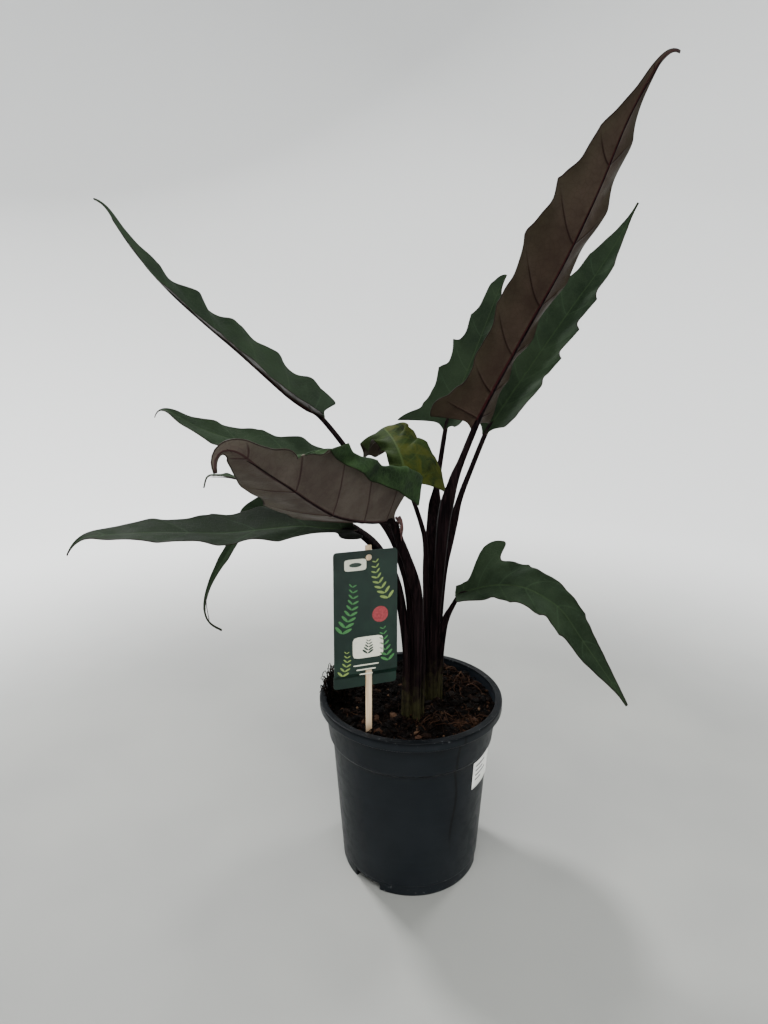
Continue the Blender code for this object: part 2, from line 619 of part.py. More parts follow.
def make_tag(parts, cutters):
    stick_height = STICK_TOP - STICK_BOTTOM
    bm = bmesh.new()
    bmesh.ops.create_cube(bm, size=1.0)
    bmesh.ops.scale(bm, vec=(STICK_WIDTH, STICK_THICKNESS, stick_height), verts=bm.verts)
    stick = new_object("tag_stick", mesh_from_bmesh("tag_stick", bm), parts, "stick_wood")
    stick.location = stick_place((STICK_TOP + STICK_BOTTOM) / 2)
    stick.rotation_euler.z = TAG_YAW

    # The card hangs in front of the stick, and its tab below the slit goes behind it.
    front = -(STICK_THICKNESS + TAG_THICKNESS) / 2 - GAP
    slit_top = TAG_BOTTOM + TAB_HEIGHT + TAB_STEP
    middle = TAG_BOTTOM + TAG_HEIGHT / 2
    bm = bmesh.new()
    bmesh.ops.create_cube(bm, size=1.0)
    bmesh.ops.scale(bm, vec=(TAG_WIDTH, TAG_THICKNESS, TAG_HEIGHT), verts=bm.verts)
    upright = [edge for edge in bm.edges
               if abs(edge.verts[0].co.y - edge.verts[1].co.y) > TAG_THICKNESS / 2]
    bmesh.ops.bevel(bm, geom=upright, offset=TAG_CORNER, segments=3, profile=0.5,
                    affect="EDGES", material=-1)
    for height in (slit_top, slit_top - TAB_STEP):
        bmesh.ops.bisect_plane(bm, geom=bm.verts[:] + bm.edges[:] + bm.faces[:],
                               plane_co=(0, 0, height - middle), plane_no=(0, 0, 1))
    for vert in bm.verts:
        below = slit_top - (vert.co.z + middle)
        back = min(1.0, max(0.0, below / TAB_STEP)) * -2 * front
        vert.co.y += back
    card = new_object("tag_card", mesh_from_bmesh("tag_card", bm), parts, "tag_card")
    outward = Vector((-math.sin(TAG_YAW), math.cos(TAG_YAW), 0.0))
    card.location = Vector(TAG_PLACE) + outward * front + Vector((0, 0, middle))
    card.rotation_euler.z = TAG_YAW
    slit = box_cutter("tag_slit", (STICK_WIDTH + 3 * GAP, 0.010, TAB_STEP + 0.004),
                      stick_place(slit_top - TAB_STEP / 2), cutters)
    slit.rotation_euler.z = TAG_YAW
    cut(card, slit)
    punch = round_cutter("tag_punch", PUNCH_RADIUS, 0.010,
                         stick_place(TAG_BOTTOM + TAG_HEIGHT - PUNCH_DROP) + outward * front, cutters)
    punch.rotation_euler = (math.pi / 2, 0.0, TAG_YAW)
    cut(card, punch)


def make_label(parts):
    bm = bmesh.new()
    bmesh.ops.create_grid(bm, x_segments=8, y_segments=1, size=0.5)
    for vert in bm.verts:
        angle = LABEL_MIDDLE + vert.co.x * LABEL_SPAN
        height = LABEL_TOP - LABEL_HEIGHT / 2 + vert.co.y * LABEL_HEIGHT
        radius = wall_radius(height) + 2 * GAP
        vert.co = (radius * math.cos(angle), radius * math.sin(angle), height)
    outward = Vector((math.cos(LABEL_MIDDLE), math.sin(LABEL_MIDDLE), 0.0))
    bm.normal_update()
    inward_faces = [face for face in bm.faces if face.normal.dot(outward) < 0]
    bmesh.ops.reverse_faces(bm, faces=inward_faces)
    label = new_object("pot_label", mesh_from_bmesh("pot_label", bm), parts, "label_paper")
    solid = label.modifiers.new("thickness", "SOLIDIFY")
    solid.thickness = LABEL_THICKNESS
    solid.offset = 1.0


def main():
    clear_scene()
    parts = new_collection("potted_alocasia")
    cutters = new_collection("cutters")
    make_pot(parts, cutters)
    make_soil(parts, cutters)
    for name, leaf in LEAVES.items():
        make_stalk("stalk_" + name, leaf, parts)
        make_blade("blade_" + name, leaf, parts)
    make_tag(parts, cutters)
    make_label(parts)


main()
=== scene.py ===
import random
from math import atan2, cos, exp, hypot, pi, radians, sin, sqrt

import bmesh
import bpy
import numpy as np
from mathutils import Matrix, Vector, noise


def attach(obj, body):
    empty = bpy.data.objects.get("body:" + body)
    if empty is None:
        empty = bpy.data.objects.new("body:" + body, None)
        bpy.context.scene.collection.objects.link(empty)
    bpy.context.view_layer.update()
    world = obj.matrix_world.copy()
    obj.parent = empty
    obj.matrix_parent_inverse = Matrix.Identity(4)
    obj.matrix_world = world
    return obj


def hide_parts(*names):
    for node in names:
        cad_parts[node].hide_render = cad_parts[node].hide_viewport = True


# A potted alocasia: nursery pot, soil, two clumps of dark leaf stalks with arrow-shaped
# wavy blades, a printed plant tag on a stick and a paper label on the pot.
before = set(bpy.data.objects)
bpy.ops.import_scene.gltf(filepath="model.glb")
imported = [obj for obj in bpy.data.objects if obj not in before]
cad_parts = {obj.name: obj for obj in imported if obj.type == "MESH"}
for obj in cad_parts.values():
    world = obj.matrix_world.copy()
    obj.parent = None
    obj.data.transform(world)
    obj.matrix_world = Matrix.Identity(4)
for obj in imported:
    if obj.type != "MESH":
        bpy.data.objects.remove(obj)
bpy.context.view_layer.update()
dice = random.Random(41)

cameraView = {
    "place": (-0.029, -0.650, 0.526),
    "pitch": 8.0,                # degrees below the horizon
    "focal": 655.0,              # in pixels of the picture
    "middle": (383.0, 450.0),    # pixel that the lens looks at
    "width": 768, "height": 1024, "sensor": 36.0, "nearest": 0.02,
}


def placeCamera():
    tall = cameraView["height"]
    lens = bpy.data.cameras.new("plantCamera")
    lens.sensor_width = cameraView["sensor"]
    lens.lens = cameraView["focal"] * cameraView["sensor"] / tall
    lens.shift_x = (cameraView["width"] / 2 - cameraView["middle"][0]) / tall
    lens.shift_y = (cameraView["middle"][1] - tall / 2) / tall
    lens.clip_start = cameraView["nearest"]
    camera = bpy.data.objects.new("plantCamera", lens)
    camera.location = cameraView["place"]
    camera.rotation_euler = (radians(90 - cameraView["pitch"]), 0.0, 0.0)
    bpy.context.scene.collection.objects.link(camera)
    bpy.context.scene.camera = camera


placeCamera()
print("camera placed")


# Small helpers for meshes.
def showMesh(name, bm, finishes, flat=False):
    mesh = bpy.data.meshes.new(name)
    bm.to_mesh(mesh)
    bm.free()
    if flat:
        mesh.shade_flat()
    else:
        mesh.shade_smooth()
    for finish in finishes:
        mesh.materials.append(finish)
    shown = bpy.data.objects.new(name, mesh)
    bpy.context.scene.collection.objects.link(shown)
    return shown


def makePiece(name, bm, finishes, replaced=(), flat=False):
    # Turns a bmesh into a piece that rides on the plant.
    piece = showMesh(name, bm, finishes, flat)
    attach(piece, "root")
    if replaced:
        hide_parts(*replaced)
    return piece


def thicken(piece, thickness, offset):
    solid = piece.modifiers.new("thickness", "SOLIDIFY")
    solid.thickness = thickness
    solid.offset = offset
    return solid


def gridSheet(columns, rows, placeOf, numbers=()):
    # A grid moved point by point; placeOf(u, v) gives the place and the named numbers.
    bm = bmesh.new()
    uvMap = bm.loops.layers.uv.new("UVMap")
    layers = [bm.verts.layers.float.new(name) for name in numbers]
    bmesh.ops.create_grid(bm, x_segments=columns, y_segments=rows, size=0.5)
    for face in bm.faces:
        for corner in face.loops:
            corner[uvMap].uv = (corner.vert.co.x + 0.5, corner.vert.co.y + 0.5)
    for point in bm.verts:
        place, values = placeOf(point.co.x + 0.5, point.co.y + 0.5)
        point.co = place
        for layer, value in zip(layers, values):
            point[layer] = value
    return bm


def closeSeams(bm, distance=0.00002):
    bmesh.ops.remove_doubles(bm, verts=bm.verts, dist=distance)
    bmesh.ops.recalc_face_normals(bm, faces=bm.faces)


def roundedProfile(corners, steps=3):
    # Corners are radius, height and rounding; each is softened and kept tight on its flats.
    outline = [Vector(corners[0][:2])]
    for before, corner, after in zip(corners, corners[1:], corners[2:]):
        spot = Vector(corner[:2])
        back, ahead = Vector(before[:2]) - spot, Vector(after[:2]) - spot
        rounding = min(corner[2], 0.4 * back.length, 0.4 * ahead.length)
        start, end = spot + back.normalized() * rounding, spot + ahead.normalized() * rounding
        if back.length > 5 * rounding:
            outline.append(spot + back.normalized() * rounding * 1.8)
        for step in range(steps + 1):
            share = step / steps
            outline.append(start.lerp(spot, share).lerp(spot.lerp(end, share), share))
        if ahead.length > 5 * rounding:
            outline.append(spot + ahead.normalized() * rounding * 1.8)
    outline.append(Vector(corners[-1][:2]))
    return outline


def spinOutline(outline, steps):
    bm = bmesh.new()
    chain = [bm.verts.new((spot[0], 0.0, spot[1])) for spot in outline]
    for first, second in zip(chain, chain[1:]):
        bm.edges.new((first, second))
    bmesh.ops.spin(bm, geom=bm.verts[:] + bm.edges[:], cent=(0, 0, 0), axis=(0, 0, 1),
                   angle=2 * pi, steps=steps, use_merge=True)
    closeSeams(bm)
    return bm


def smoothPath(points, count):
    # Catmull-Rom curve through the points, read at even steps of its length.
    points = np.array(points, dtype=float)
    first, last = 2 * points[0] - points[1], 2 * points[-1] - points[-2]
    padded = np.vstack([first, points, last])
    dense = []
    for p0, p1, p2, p3 in zip(padded, padded[1:], padded[2:], padded[3:]):
        for t in np.linspace(0, 1, 24, endpoint=False):
            dense.append(0.5 * (2 * p1 + (p2 - p0) * t + (2 * p0 - 5 * p1 + 4 * p2 - p3) * t ** 2
                                + (3 * p1 - p0 - 3 * p2 + p3) * t ** 3))
    dense.append(points[-1])
    dense = np.array(dense)
    steps = np.linalg.norm(np.diff(dense[:, :3], axis=0), axis=1)
    reach = np.concatenate([[0.0], np.cumsum(steps)])
    even = np.linspace(0, reach[-1], count)
    return np.stack([np.interp(even, reach, dense[:, axis]) for axis in range(dense.shape[1])], 1)


def carriedFrames(places, facing):
    # Directions along a path and normals carried along it without twist.
    ahead = np.gradient(places, axis=0)
    ahead /= np.linalg.norm(ahead, axis=1)[:, None]
    normal = np.array(facing, dtype=float)
    normals = []
    for direction in ahead:
        normal = normal - direction * normal.dot(direction)
        normal = normal / np.linalg.norm(normal)
        normals.append(normal)
    length = np.linalg.norm(np.diff(places, axis=0), axis=1).sum()
    return {"places": places, "ahead": ahead, "up": np.array(normals), "length": length}


def readAlong(frames, key, distance):
    last = len(frames["places"]) - 1
    spot = min(max(distance / frames["length"], 0.0), 1.0) * last
    low = min(int(spot), last - 1)
    return Vector(frames[key][low] * (1 - spot + low) + frames[key][low + 1] * (spot - low))


def aroundAxis(radius, angle, height=0.0):
    return Vector((radius * cos(angle), radius * sin(angle), height))


def easeBetween(value, low, high):
    share = min(1.0, max(0.0, (value - low) / (high - low)))
    return share * share * (3 - 2 * share)


def hump(value, width):
    # 1 at nought, fading to both sides.
    return exp(-(value / width) ** 2)


# Small helpers for materials.
def shade(red, green, blue):
    # A colour as it looks on screen, 0 to 255, made linear for the shaders.
    linear = []
    for part in (red / 255, green / 255, blue / 255):
        linear.append(part / 12.92 if part <= 0.04045 else ((part + 0.055) / 1.055) ** 2.4)
    return (*linear, 1.0)


def feed(tree, node, inputs):
    # Links each socket that is given and sets each plain value.
    for key, value in inputs.items():
        if isinstance(value, bpy.types.NodeSocket):
            tree.links.new(value, node.inputs[key])
        else:
            node.inputs[key].default_value = value
    return node


def addNode(kind, inputs, tree=None, **settings):
    # Goes into the tree of the sockets that it is given, unless a tree is named.
    sockets = [value for value in inputs.values() if isinstance(value, bpy.types.NodeSocket)]
    tree = tree or sockets[0].id_data
    made = tree.nodes.new("ShaderNode" + kind)
    for key, value in settings.items():
        setattr(made, key, value)
    return feed(tree, made, inputs).outputs


def mix(share, first, second):
    # Mixes two colours, each a socket or a colour as it looks on screen.
    first, second = (shade(*tint) if isinstance(tint, tuple) else tint for tint in (first, second))
    return addNode("Mix", {0: share, 6: first, 7: second}, data_type="RGBA")[2]


def calculate(operation, *numbers):
    return addNode("Math", dict(enumerate(numbers)), operation=operation)[0]


def times(first, second):
    return calculate("MULTIPLY", first, second)


def plus(first, second):
    return calculate("ADD", first, second)


def layer(colour, mask, share, tint):
    # Lays a tint over the colour where the mask is high.
    return mix(times(mask, share), colour, tint)


def ramp(value, low, high, start=0.0, end=1.0):
    return addNode("MapRange", {"Value": value, "From Min": low, "From Max": high,
                                "To Min": start, "To Max": end},
                   interpolation_type="SMOOTHSTEP")[0]


def readNumber(tree, name):
    return addNode("Attribute", {}, tree, attribute_name=name)["Fac"]


def objectPlace(tree, scale=(1.0, 1.0, 1.0)):
    place = addNode("TexCoord", {}, tree)["Object"]
    return addNode("Mapping", {"Vector": place, "Scale": scale})[0]


def axes(place):
    return addNode("SeparateXYZ", {0: place})


def cloud(place, scale, detail=3.0, roughness=0.55, distortion=0.0):
    return addNode("TexNoise", {"Vector": place, "Scale": scale, "Detail": detail,
                                "Roughness": roughness, "Distortion": distortion})[0]


def newGroup(name, inputs, outputs):
    group = bpy.data.node_groups.new(name, "ShaderNodeTree")
    for label, value in inputs.items():
        socket = group.interface.new_socket(label, in_out="INPUT", socket_type="NodeSocketFloat")
        socket.default_value = value
    for label in outputs:
        group.interface.new_socket(label, in_out="OUTPUT", socket_type="NodeSocketFloat")
    given, put = group.nodes.new("NodeGroupInput"), group.nodes.new("NodeGroupOutput")
    return group, given.outputs, put


def buildGrainGroup():
    # Two sizes of soft clouds and a fine grain, on Object coordinates.
    group, given, put = newGroup("grainClouds", {"Large": 12.0, "Small": 90.0, "Fine": 900.0},
                                 ("Patches", "Specks", "Grain"))
    place = objectPlace(group)
    feed(group, put, {
        "Patches": ramp(cloud(place, given["Large"], 3.0), 0.38, 0.64),
        "Specks": ramp(cloud(place, given["Small"], 4.0), 0.35, 0.68),
        "Grain": cloud(place, given["Fine"], 2.0)})
    return group


grainGroup = buildGrainGroup()


def startFinish(name, sizes=None):
    # A material and, where sizes of clouds and grain are given, their masks.
    finish = bpy.data.materials.new(name)
    finish.use_nodes = True
    tree = finish.node_tree
    if sizes is None:
        return finish, tree
    sizes = dict(zip(("Large", "Small", "Fine"), sizes))
    return finish, tree, addNode("Group", sizes, tree, node_tree=grainGroup)


def dress(finish, colour, roughness, bump=None, level=0.5):
    # Feeds the shader; a bump is its height, strength and distance.
    tree = finish.node_tree
    values = {"Base Color": colour, "Roughness": roughness, "Specular IOR Level": level}
    if bump:
        bump = dict(zip(("Height", "Strength", "Distance"), bump))
        values["Normal"] = addNode("Bump", bump)[0]
    feed(tree, tree.nodes["Principled BSDF"], values)


def sheetFinish(name, sizes, first, second, rough, bump, level=0.5):
    # Printed card and paper: soft clouds of two colours and a faint grain.
    finish, _, grain = startFinish(name, sizes)
    dress(finish, mix(grain["Patches"], first, second),
          ramp(grain["Specks"], 0.0, 1.0, *rough), (grain["Grain"], *bump), level)
    return finish


# Leaves. The shape values in metres here hold for all blades.
blade = {
    "thickness": 0.0006, "ribDepth": 0.0016, "ribSpread": 0.0022, "veinDepth": 0.0012,
    "veinSpread": 0.0008, "tipHalfWidth": 0.0012, "belly": 0.75, "lobeFlare": 0.15,
    "flareSpread": 0.06, "dripShare": 0.18, "dripWidth": 0.35, "rowPower": 1.2,
    "veinRootPower": 1.25, "veinLean": 42, "fanSpread": 0.10, "troughFade": 0.6, "foldRate": 10,
    "waveAtBase": 0.08, "pathSamples": 160, "sectionSteps": 24, "quilt": 0.0005,
    "quiltWidth": 0.045, "ribGroove": 0.0005, "grooveWidth": 0.0015, "fineWave": 0.0004,
    "fineScallop": 0.010, "fineRate": 2.5, "veinBend": 1.35, "decurrent": 0.007,
    "decurrentWidth": 0.006, "decurrentEnd": 0.05, "ripple": (0.85, 0.4, 2.3),
    "veinFade": (0.55, 0.97, 0.7), "quiltEnds": 0.04, "quiltPower": 0.7, "frillStart": 0.6,
    "veinRows": (0.0, 0.12, 0.24, 0.35, 0.43, 0.474, 0.5, 0.526, 0.57, 0.65, 0.76, 0.88),
    "numbers": ("ribDistance", "veinDistance", "edgeDistance", "leafReach", "leafShare"),
}

# Colours as they look on screen, of the upper side and of the underside.
plainLook = {
    "deep": (18, 27, 17), "upper": (27, 37, 24), "pale": (36, 46, 33), "vein": (40, 54, 37),
    "rib": (38, 50, 32), "edge": (24, 16, 15), "under": (48, 39, 32), "underPale": (57, 48, 40),
    "underEdge": (46, 43, 32), "underVein": (24, 12, 11), "underRib": (40, 15, 17),
}

sides = {
    "Upper": {
        "lines": (0.0013, 0.0007), "sizes": (16, 70, 1400), "clouds": ("deep", "upper"),
        "layers": (("Specks", 0.35, "pale"), ("Yellow", 1.0, "yellow"), ("Net", 0.18, "pale"),
                   ("Vein", 0.32, "vein"), ("Rib", 0.6, "rib"), ("Edge", 0.6, "edge")),
        "rough": (0.60, 0.74), "netHeight": -0.6, "bump": (0.5, 0.0004), "level": 0.025,
    },
    "Under": {
        "lines": (0.0019, 0.00075), "sizes": (14, 60, 1500), "clouds": ("under", "underPale"),
        "layers": (("Outer", 0.55, "underEdge"), ("Specks", 0.22, "underVein"),
                   ("Net", 0.16, "underVein"), ("Vein", 0.85, "underVein"),
                   ("Rib", 0.95, "underRib"), ("Edge", 0.8, "edge")),
        "rough": (0.42, 0.56), "netHeight": 0.5, "bump": (0.35, 0.0003), "level": 0.03,
    },
}

clumps = {
    "near": {"foot": (0.000, -0.036, 0.0), "waist": (0.001, -0.036, 0.0), "ring": 0.0078},
    "far": {"foot": (0.023, 0.001, 0.0), "waist": (0.024, 0.000, 0.0), "ring": 0.0068},
}

# What a leaf has where its own values below say nothing. Lengths are in millimetres, pairs
# are for the near half and the far half, widths are percent of the length and half width.
plainLeaf = {
    "lobe": (1.0, 1.0), "lobeSpread": 0.02, "fan": (66, 66), "widths": {}, "taper": (0, 0),
    "scallop": 0.07, "curl": (0, 0), "nearWave": 1.0, "veins": 5, "flap": None, "look": {},
    "ribSize": 1.0, "sheath": (300, 200, 0.18), "wing": (330, 0.15),
    "columns": (0.0, 0.014, 0.03, 0.055, 0.10, 0.17, 0.25, 0.34, 0.43, 0.52, 0.61, 0.70, 0.78,
                0.85, 0.91, 0.96, 1.0),
}

leaves = {
    "tall": {
        "clump": "far", "place": -90, "facing": (-0.65, 0.8, 0.25), "halfWidth": (46, 44),
        "stalk": [(29, -8, 323, 4.6), (33, -8, 370, 5.6), (41, -8, 404, 5), (49, -7, 425, 3.5)],
        "midrib": [(62, -5, 462), (80, -20, 503), (106, -40, 559), (128, -60, 607),
                   (149, -80, 662), (163, -100, 710), (180, -110, 747), (194, -105, 762),
                   (205, -95, 765)],
        "rise": (18, 32), "curl": (-6, -10), "wave": 2.8, "veins": 7, "neck": 3,
        "seat": (1.4, 2.2), "fan": (56, 57), "wing": (404, 0.25), "ribSize": 0.7,
        "widths": {
            0: ((0, 36), (5, 26), (12, 19), (22, 16), (35, 18), (48, 23), (60, 26), (72, 22),
                (80, 14), (86, 7), (92, 3), (97, 1.4), (100, 0.6)),
            1: ((0, 46), (1.5, 51), (3, 49), (5.5, 39), (10, 32), (18, 32), (30, 38.5), (42, 45),
                (52, 44), (62, 36), (72, 25), (80, 14), (86, 7), (92, 3), (97, 1.4), (100, 0.6))},
    },
    "right_rear": {
        "clump": "far", "place": 54, "facing": (-0.35, -0.9, 0.5), "halfWidth": (45, 38),
        "stalk": [(33, 7, 304, 3.6), (40, 12, 339, 3.8), (51, 22, 379, 3.2), (64, 32, 410, 2.7)],
        "midrib": [(82, 45, 450), (109, 65, 484), (144, 90, 528), (189, 115, 586),
                   (221, 130, 627), (247, 140, 667), (268, 145, 705)],
        "lobe": (0.5, 0.62), "lobeSpread": 0.07, "fan": (44, 38), "taper": (0.12, 0.22),
        "rise": (44, 42), "curl": (-20, -12), "wave": 3.4, "veins": 7, "scallop": 0.15,
        "neck": 2.5, "seat": (0.6, 0.8), "wing": (380, 0.35),
    },
    "middle_rear": {
        "clump": "far", "place": 126, "facing": (-0.3, -0.9, 0.4), "halfWidth": (36, 24),
        "stalk": [(21, 14, 305, 3.8), (24, 22, 346, 4), (27, 34, 380, 3.4), (31, 45, 405, 2.8)],
        "midrib": [(40, 60, 455), (53, 75, 485), (68, 90, 518), (90, 110, 569), (103, 120, 601),
                   (113, 125, 621)],
        "widths": {0: ((0, 52), (2, 44), (4.5, 32), (10, 29.5), (24, 29), (43, 24.5), (68, 17.5),
                       (85, 12.5), (95, 7), (100, 1.2))},
        "lobe": (1.1, 0.6), "rise": (18, 35), "wave": 2.2, "scallop": 0.18,
        "neck": 2.4, "seat": (1.2, 1.2), "wing": (392, 1.0),
    },
    "upper_left": {
        "clump": "near", "place": 70, "facing": (0.7, 0.0, 0.7), "halfWidth": (32, 42),
        "stalk": [(-1, -22, 290, 3.6), (-12, -2, 324, 3.6), (-27, 22, 363, 3.4),
                  (-48, 40, 399, 3.1), (-70, 50, 431, 2.9)],
        "midrib": [(-98, 58, 465), (-128, 62, 484), (-163, 62, 515), (-191, 62, 540),
                   (-219, 60, 564), (-251, 58, 594), (-272, 55, 616), (-299, 50, 655),
                   (-312, 45, 679), (-319, 35, 684)],
        "widths": {1: ((0, 31), (1.2, 38), (3, 41), (5.5, 41), (8.5, 46), (13, 41), (25, 42),
                       (40, 38), (55, 32), (70, 24), (85, 13), (95, 5), (100, 1.2))},
        "lobe": (0.6, 1.0), "lobeSpread": 0.03, "fan": (66, 58), "rise": (14, 38),
        "curl": (0, -6), "wave": 5, "nearWave": 0.2, "veins": 6, "neck": 2.6, "seat": (1.4, 1.2),
        "look": {"under": (26, 23, 19), "underPale": (34, 29, 24), "underEdge": (26, 27, 20)},
    },
    "left_rear": {
        "clump": "near", "place": 0, "facing": (0.05, -0.35, 1.0), "halfWidth": (32, 32),
        "stalk": [(5, -32, 290, 3.6), (-3, -26, 327, 3.4), (-22, -20, 366, 3.1)],
        "midrib": [(-56, -16, 405), (-86, -12, 417), (-120, -10, 430), (-160, -12, 442),
                   (-191, -20, 453), (-214, -25, 464), (-233, -30, 477), (-243, -30, 477),
                   (-246, -30, 470)],
        "lobe": (0.3, 0.3), "rise": (12, 12), "wave": 3.2, "neck": 2.6, "seat": (1, 1),
    },
    "front": {
        "clump": "near", "place": -60, "facing": (-0.2, 0.9, 0.35), "halfWidth": (66, 50),
        "stalk": [(4, -43, 295, 4.6), (-3, -48, 326, 4.8), (-12, -53, 352, 4.4)],
        "midrib": [(-23, -60, 377), (-44, -90, 384), (-66, -125, 397), (-82, -155, 414),
                   (-96, -185, 433), (-109, -215, 450), (-118, -240, 465.5), (-126, -246, 470.5),
                   (-132.5, -248, 468), (-134.5, -249, 462), (-133, -250, 455)],
        "widths": {
            0: ((0, 86), (4.4, 85), (8.7, 82), (17.5, 75), (30.6, 74), (42.6, 66), (54.7, 53),
                (64.5, 33), (76.5, 16.5), (87.5, 9.5), (92, 5.5), (95, 3), (98, 2), (100, 1)),
            1: ((0, 50), (5.5, 51.8), (10.9, 48.5), (21.9, 44), (38.3, 37.6), (54.7, 30.4),
                (71, 22.3), (84, 13), (90, 8), (94, 3.5), (98, 2), (100, 1))},
        "rise": (8, 55), "wave": 3, "fan": (54, 66), "neck": 3.4, "seat": (2.4, 2.2),
        "sheath": (335, 300, 0.30), "wing": (340, 0.15), "ribSize": 0.5,
        # The near half turns over from its start outwards, up to its reach along the leaf.
        "flap": {"half": 0, "start": 0.72, "baseDrop": 0.14, "dropSpread": 0.06, "bend": -160,
                 "reach": 0.74, "fade": 0.12},
        "columns": (0.0, 0.014, 0.03, 0.055, 0.10, 0.17, 0.25, 0.33, 0.40, 0.46, 0.52, 0.58,
                    0.64, 0.68, 0.71, 0.74, 0.77, 0.80, 0.83, 0.87, 0.92, 0.96, 1.0),
        "look": {"under": (67, 60, 54), "underPale": (79, 72, 65), "underEdge": (76, 72, 63),
                 "underRib": (48, 32, 32), "underVein": (44, 30, 30), "deep": (16, 27, 14),
                 "upper": (26, 44, 21), "pale": (52, 72, 43), "vein": (60, 80, 50)},
    },
    "lower_left": {
        "clump": "near", "place": 212, "facing": (0.0, -0.15, 1.0), "halfWidth": (40, 40),
        "stalk": [(-12, -40, 290, 3.6), (-22, -37, 324, 3.2), (-40, -33, 346, 2.7)],
        "midrib": [(-61, -31, 361.5), (-84, -34, 363), (-108, -40, 367), (-149, -55, 367),
                   (-176, -65, 367), (-227, -85, 373), (-265, -100, 375), (-282, -110, 376),
                   (-291, -115, 370), (-296, -115, 361)],
        # A small lobe at the base of the near half.
        "widths": {0: ((0, 30), (1.2, 44), (3.5, 46), (5, 40), (6.2, 20), (8, 12), (10, 14),
                       (13, 28), (16, 37), (20, 37.8), (35, 35.6), (44, 32.8), (53, 29.5),
                       (63, 25.4), (72, 20.6), (81, 15), (90, 6.2), (95, 2.6), (100, 1.2))},
        "lobe": (0.6, 0.6), "rise": (12, 12), "wave": 1.8, "neck": 2.2, "seat": (2, 1.4),
        "look": {"deep": (14, 21, 13), "upper": (19, 27, 17), "pale": (27, 35, 24)},
    },
    "drooping": {
        "clump": "near", "place": 141, "facing": (0.1, -0.7, 0.6), "halfWidth": (22, 22),
        "stalk": [(-14, -20, 300, 3.4), (-32, 2, 332, 3), (-54, 28, 345, 2.6)],
        "midrib": [(-82, 50, 354), (-131, 55, 368), (-170, 55, 360), (-193, 55, 326),
                   (-219, 50, 282), (-227, 45, 255), (-222, 40, 237), (-205, 30, 232)],
        "lobe": (0.8, 0.8), "taper": (0.75, 0.75), "rise": (20, 20), "wave": 1, "neck": 2.2,
        "seat": (2, 1.4),
    },
    "hidden_left": {
        "clump": "near", "place": None, "facing": (0.0, 0.0, 1.0), "halfWidth": (24, 24),
        "stalk": [(-4, -32, 300, 3.4), (-16, -22, 340, 3), (-36, -14, 370, 2.6)],
        "midrib": [(-67, -10, 388), (-100, -25, 397), (-131, -40, 404), (-152, -55, 413),
                   (-171, -70, 421), (-185, -75, 422), (-188, -80, 412)],
        "lobe": (0.8, 0.8), "rise": (8, 8), "wave": 2, "veins": 6, "neck": 2, "seat": (1.8, 1.4),
    },
    "crinkled": {
        "clump": "far", "place": 198, "facing": (-0.3, -0.8, 0.3), "halfWidth": (34, 42),
        "stalk": [(15, -2, 300, 2.8), (14, -3, 339, 2.6), (9, -5, 362, 2.4)],
        "midrib": [(-5, -10, 403), (-10, 0, 425), (-18, 20, 442), (-28, 50, 451),
                   (-30, 75, 445), (-26, 95, 420)],
        "widths": {
            0: ((0, 20), (15, 16), (30, 14), (45, 20), (60, 33), (75, 30), (90, 14), (100, 1.2)),
            1: ((0, 44), (10, 41), (20, 34), (35, 26), (60, 26), (80, 18), (100, 1.2))},
        "rise": (10, -20), "curl": (-30, -50), "wave": 7, "veins": 6, "scallop": 0.13,
        "neck": 2, "seat": (1.4, 1.2),
        "look": {"deep": (15, 22, 9), "upper": (25, 36, 13), "pale": (42, 54, 25),
                 "vein": (44, 56, 27), "rib": (50, 62, 32), "yellow": (42, 46, 13)},
    },
    "lower_right": {
        "clump": "far", "place": -18, "facing": (-0.2, -0.45, 0.9), "halfWidth": (22, 29),
        "stalk": [(31, -5, 228, 3.4), (34, -11, 258, 3.4), (41, -16, 277, 2.2)],
        "midrib": [(49, -20, 293), (72, -35, 305), (89, -45, 310), (106, -60, 312),
                   (122, -70, 306), (135, -80, 297), (150, -95, 275), (164, -110, 255),
                   (180, -125, 231)],
        "widths": {0: ((0, 8), (8.2, 12), (9.2, 34), (10, 45), (12.5, 47.5), (15, 45),
                       (16.5, 32), (18.2, 25.5), (30, 22.5), (45, 19.5), (60, 15), (75, 10),
                       (90, 4.5), (100, 1.2))},
        "lobe": (1.1, 0.05), "lobeSpread": 0.03, "fan": (76, 62), "rise": (30, 28),
        "curl": (-8, -8), "wave": 2, "veins": 7, "neck": 1.8, "seat": (1, 1.4),
    },
}


def readLeaf(values):
    # The plain leaf with the values of its own, lengths now in metres.
    leaf = dict(plainLeaf, **values)
    for key in ("stalk", "midrib", "halfWidth", "wave", "neck", "seat"):
        leaf[key] = (np.array(leaf[key]) / 1000).tolist()
    leaf["look"] = dict(plainLook, **leaf["look"])
    return leaf


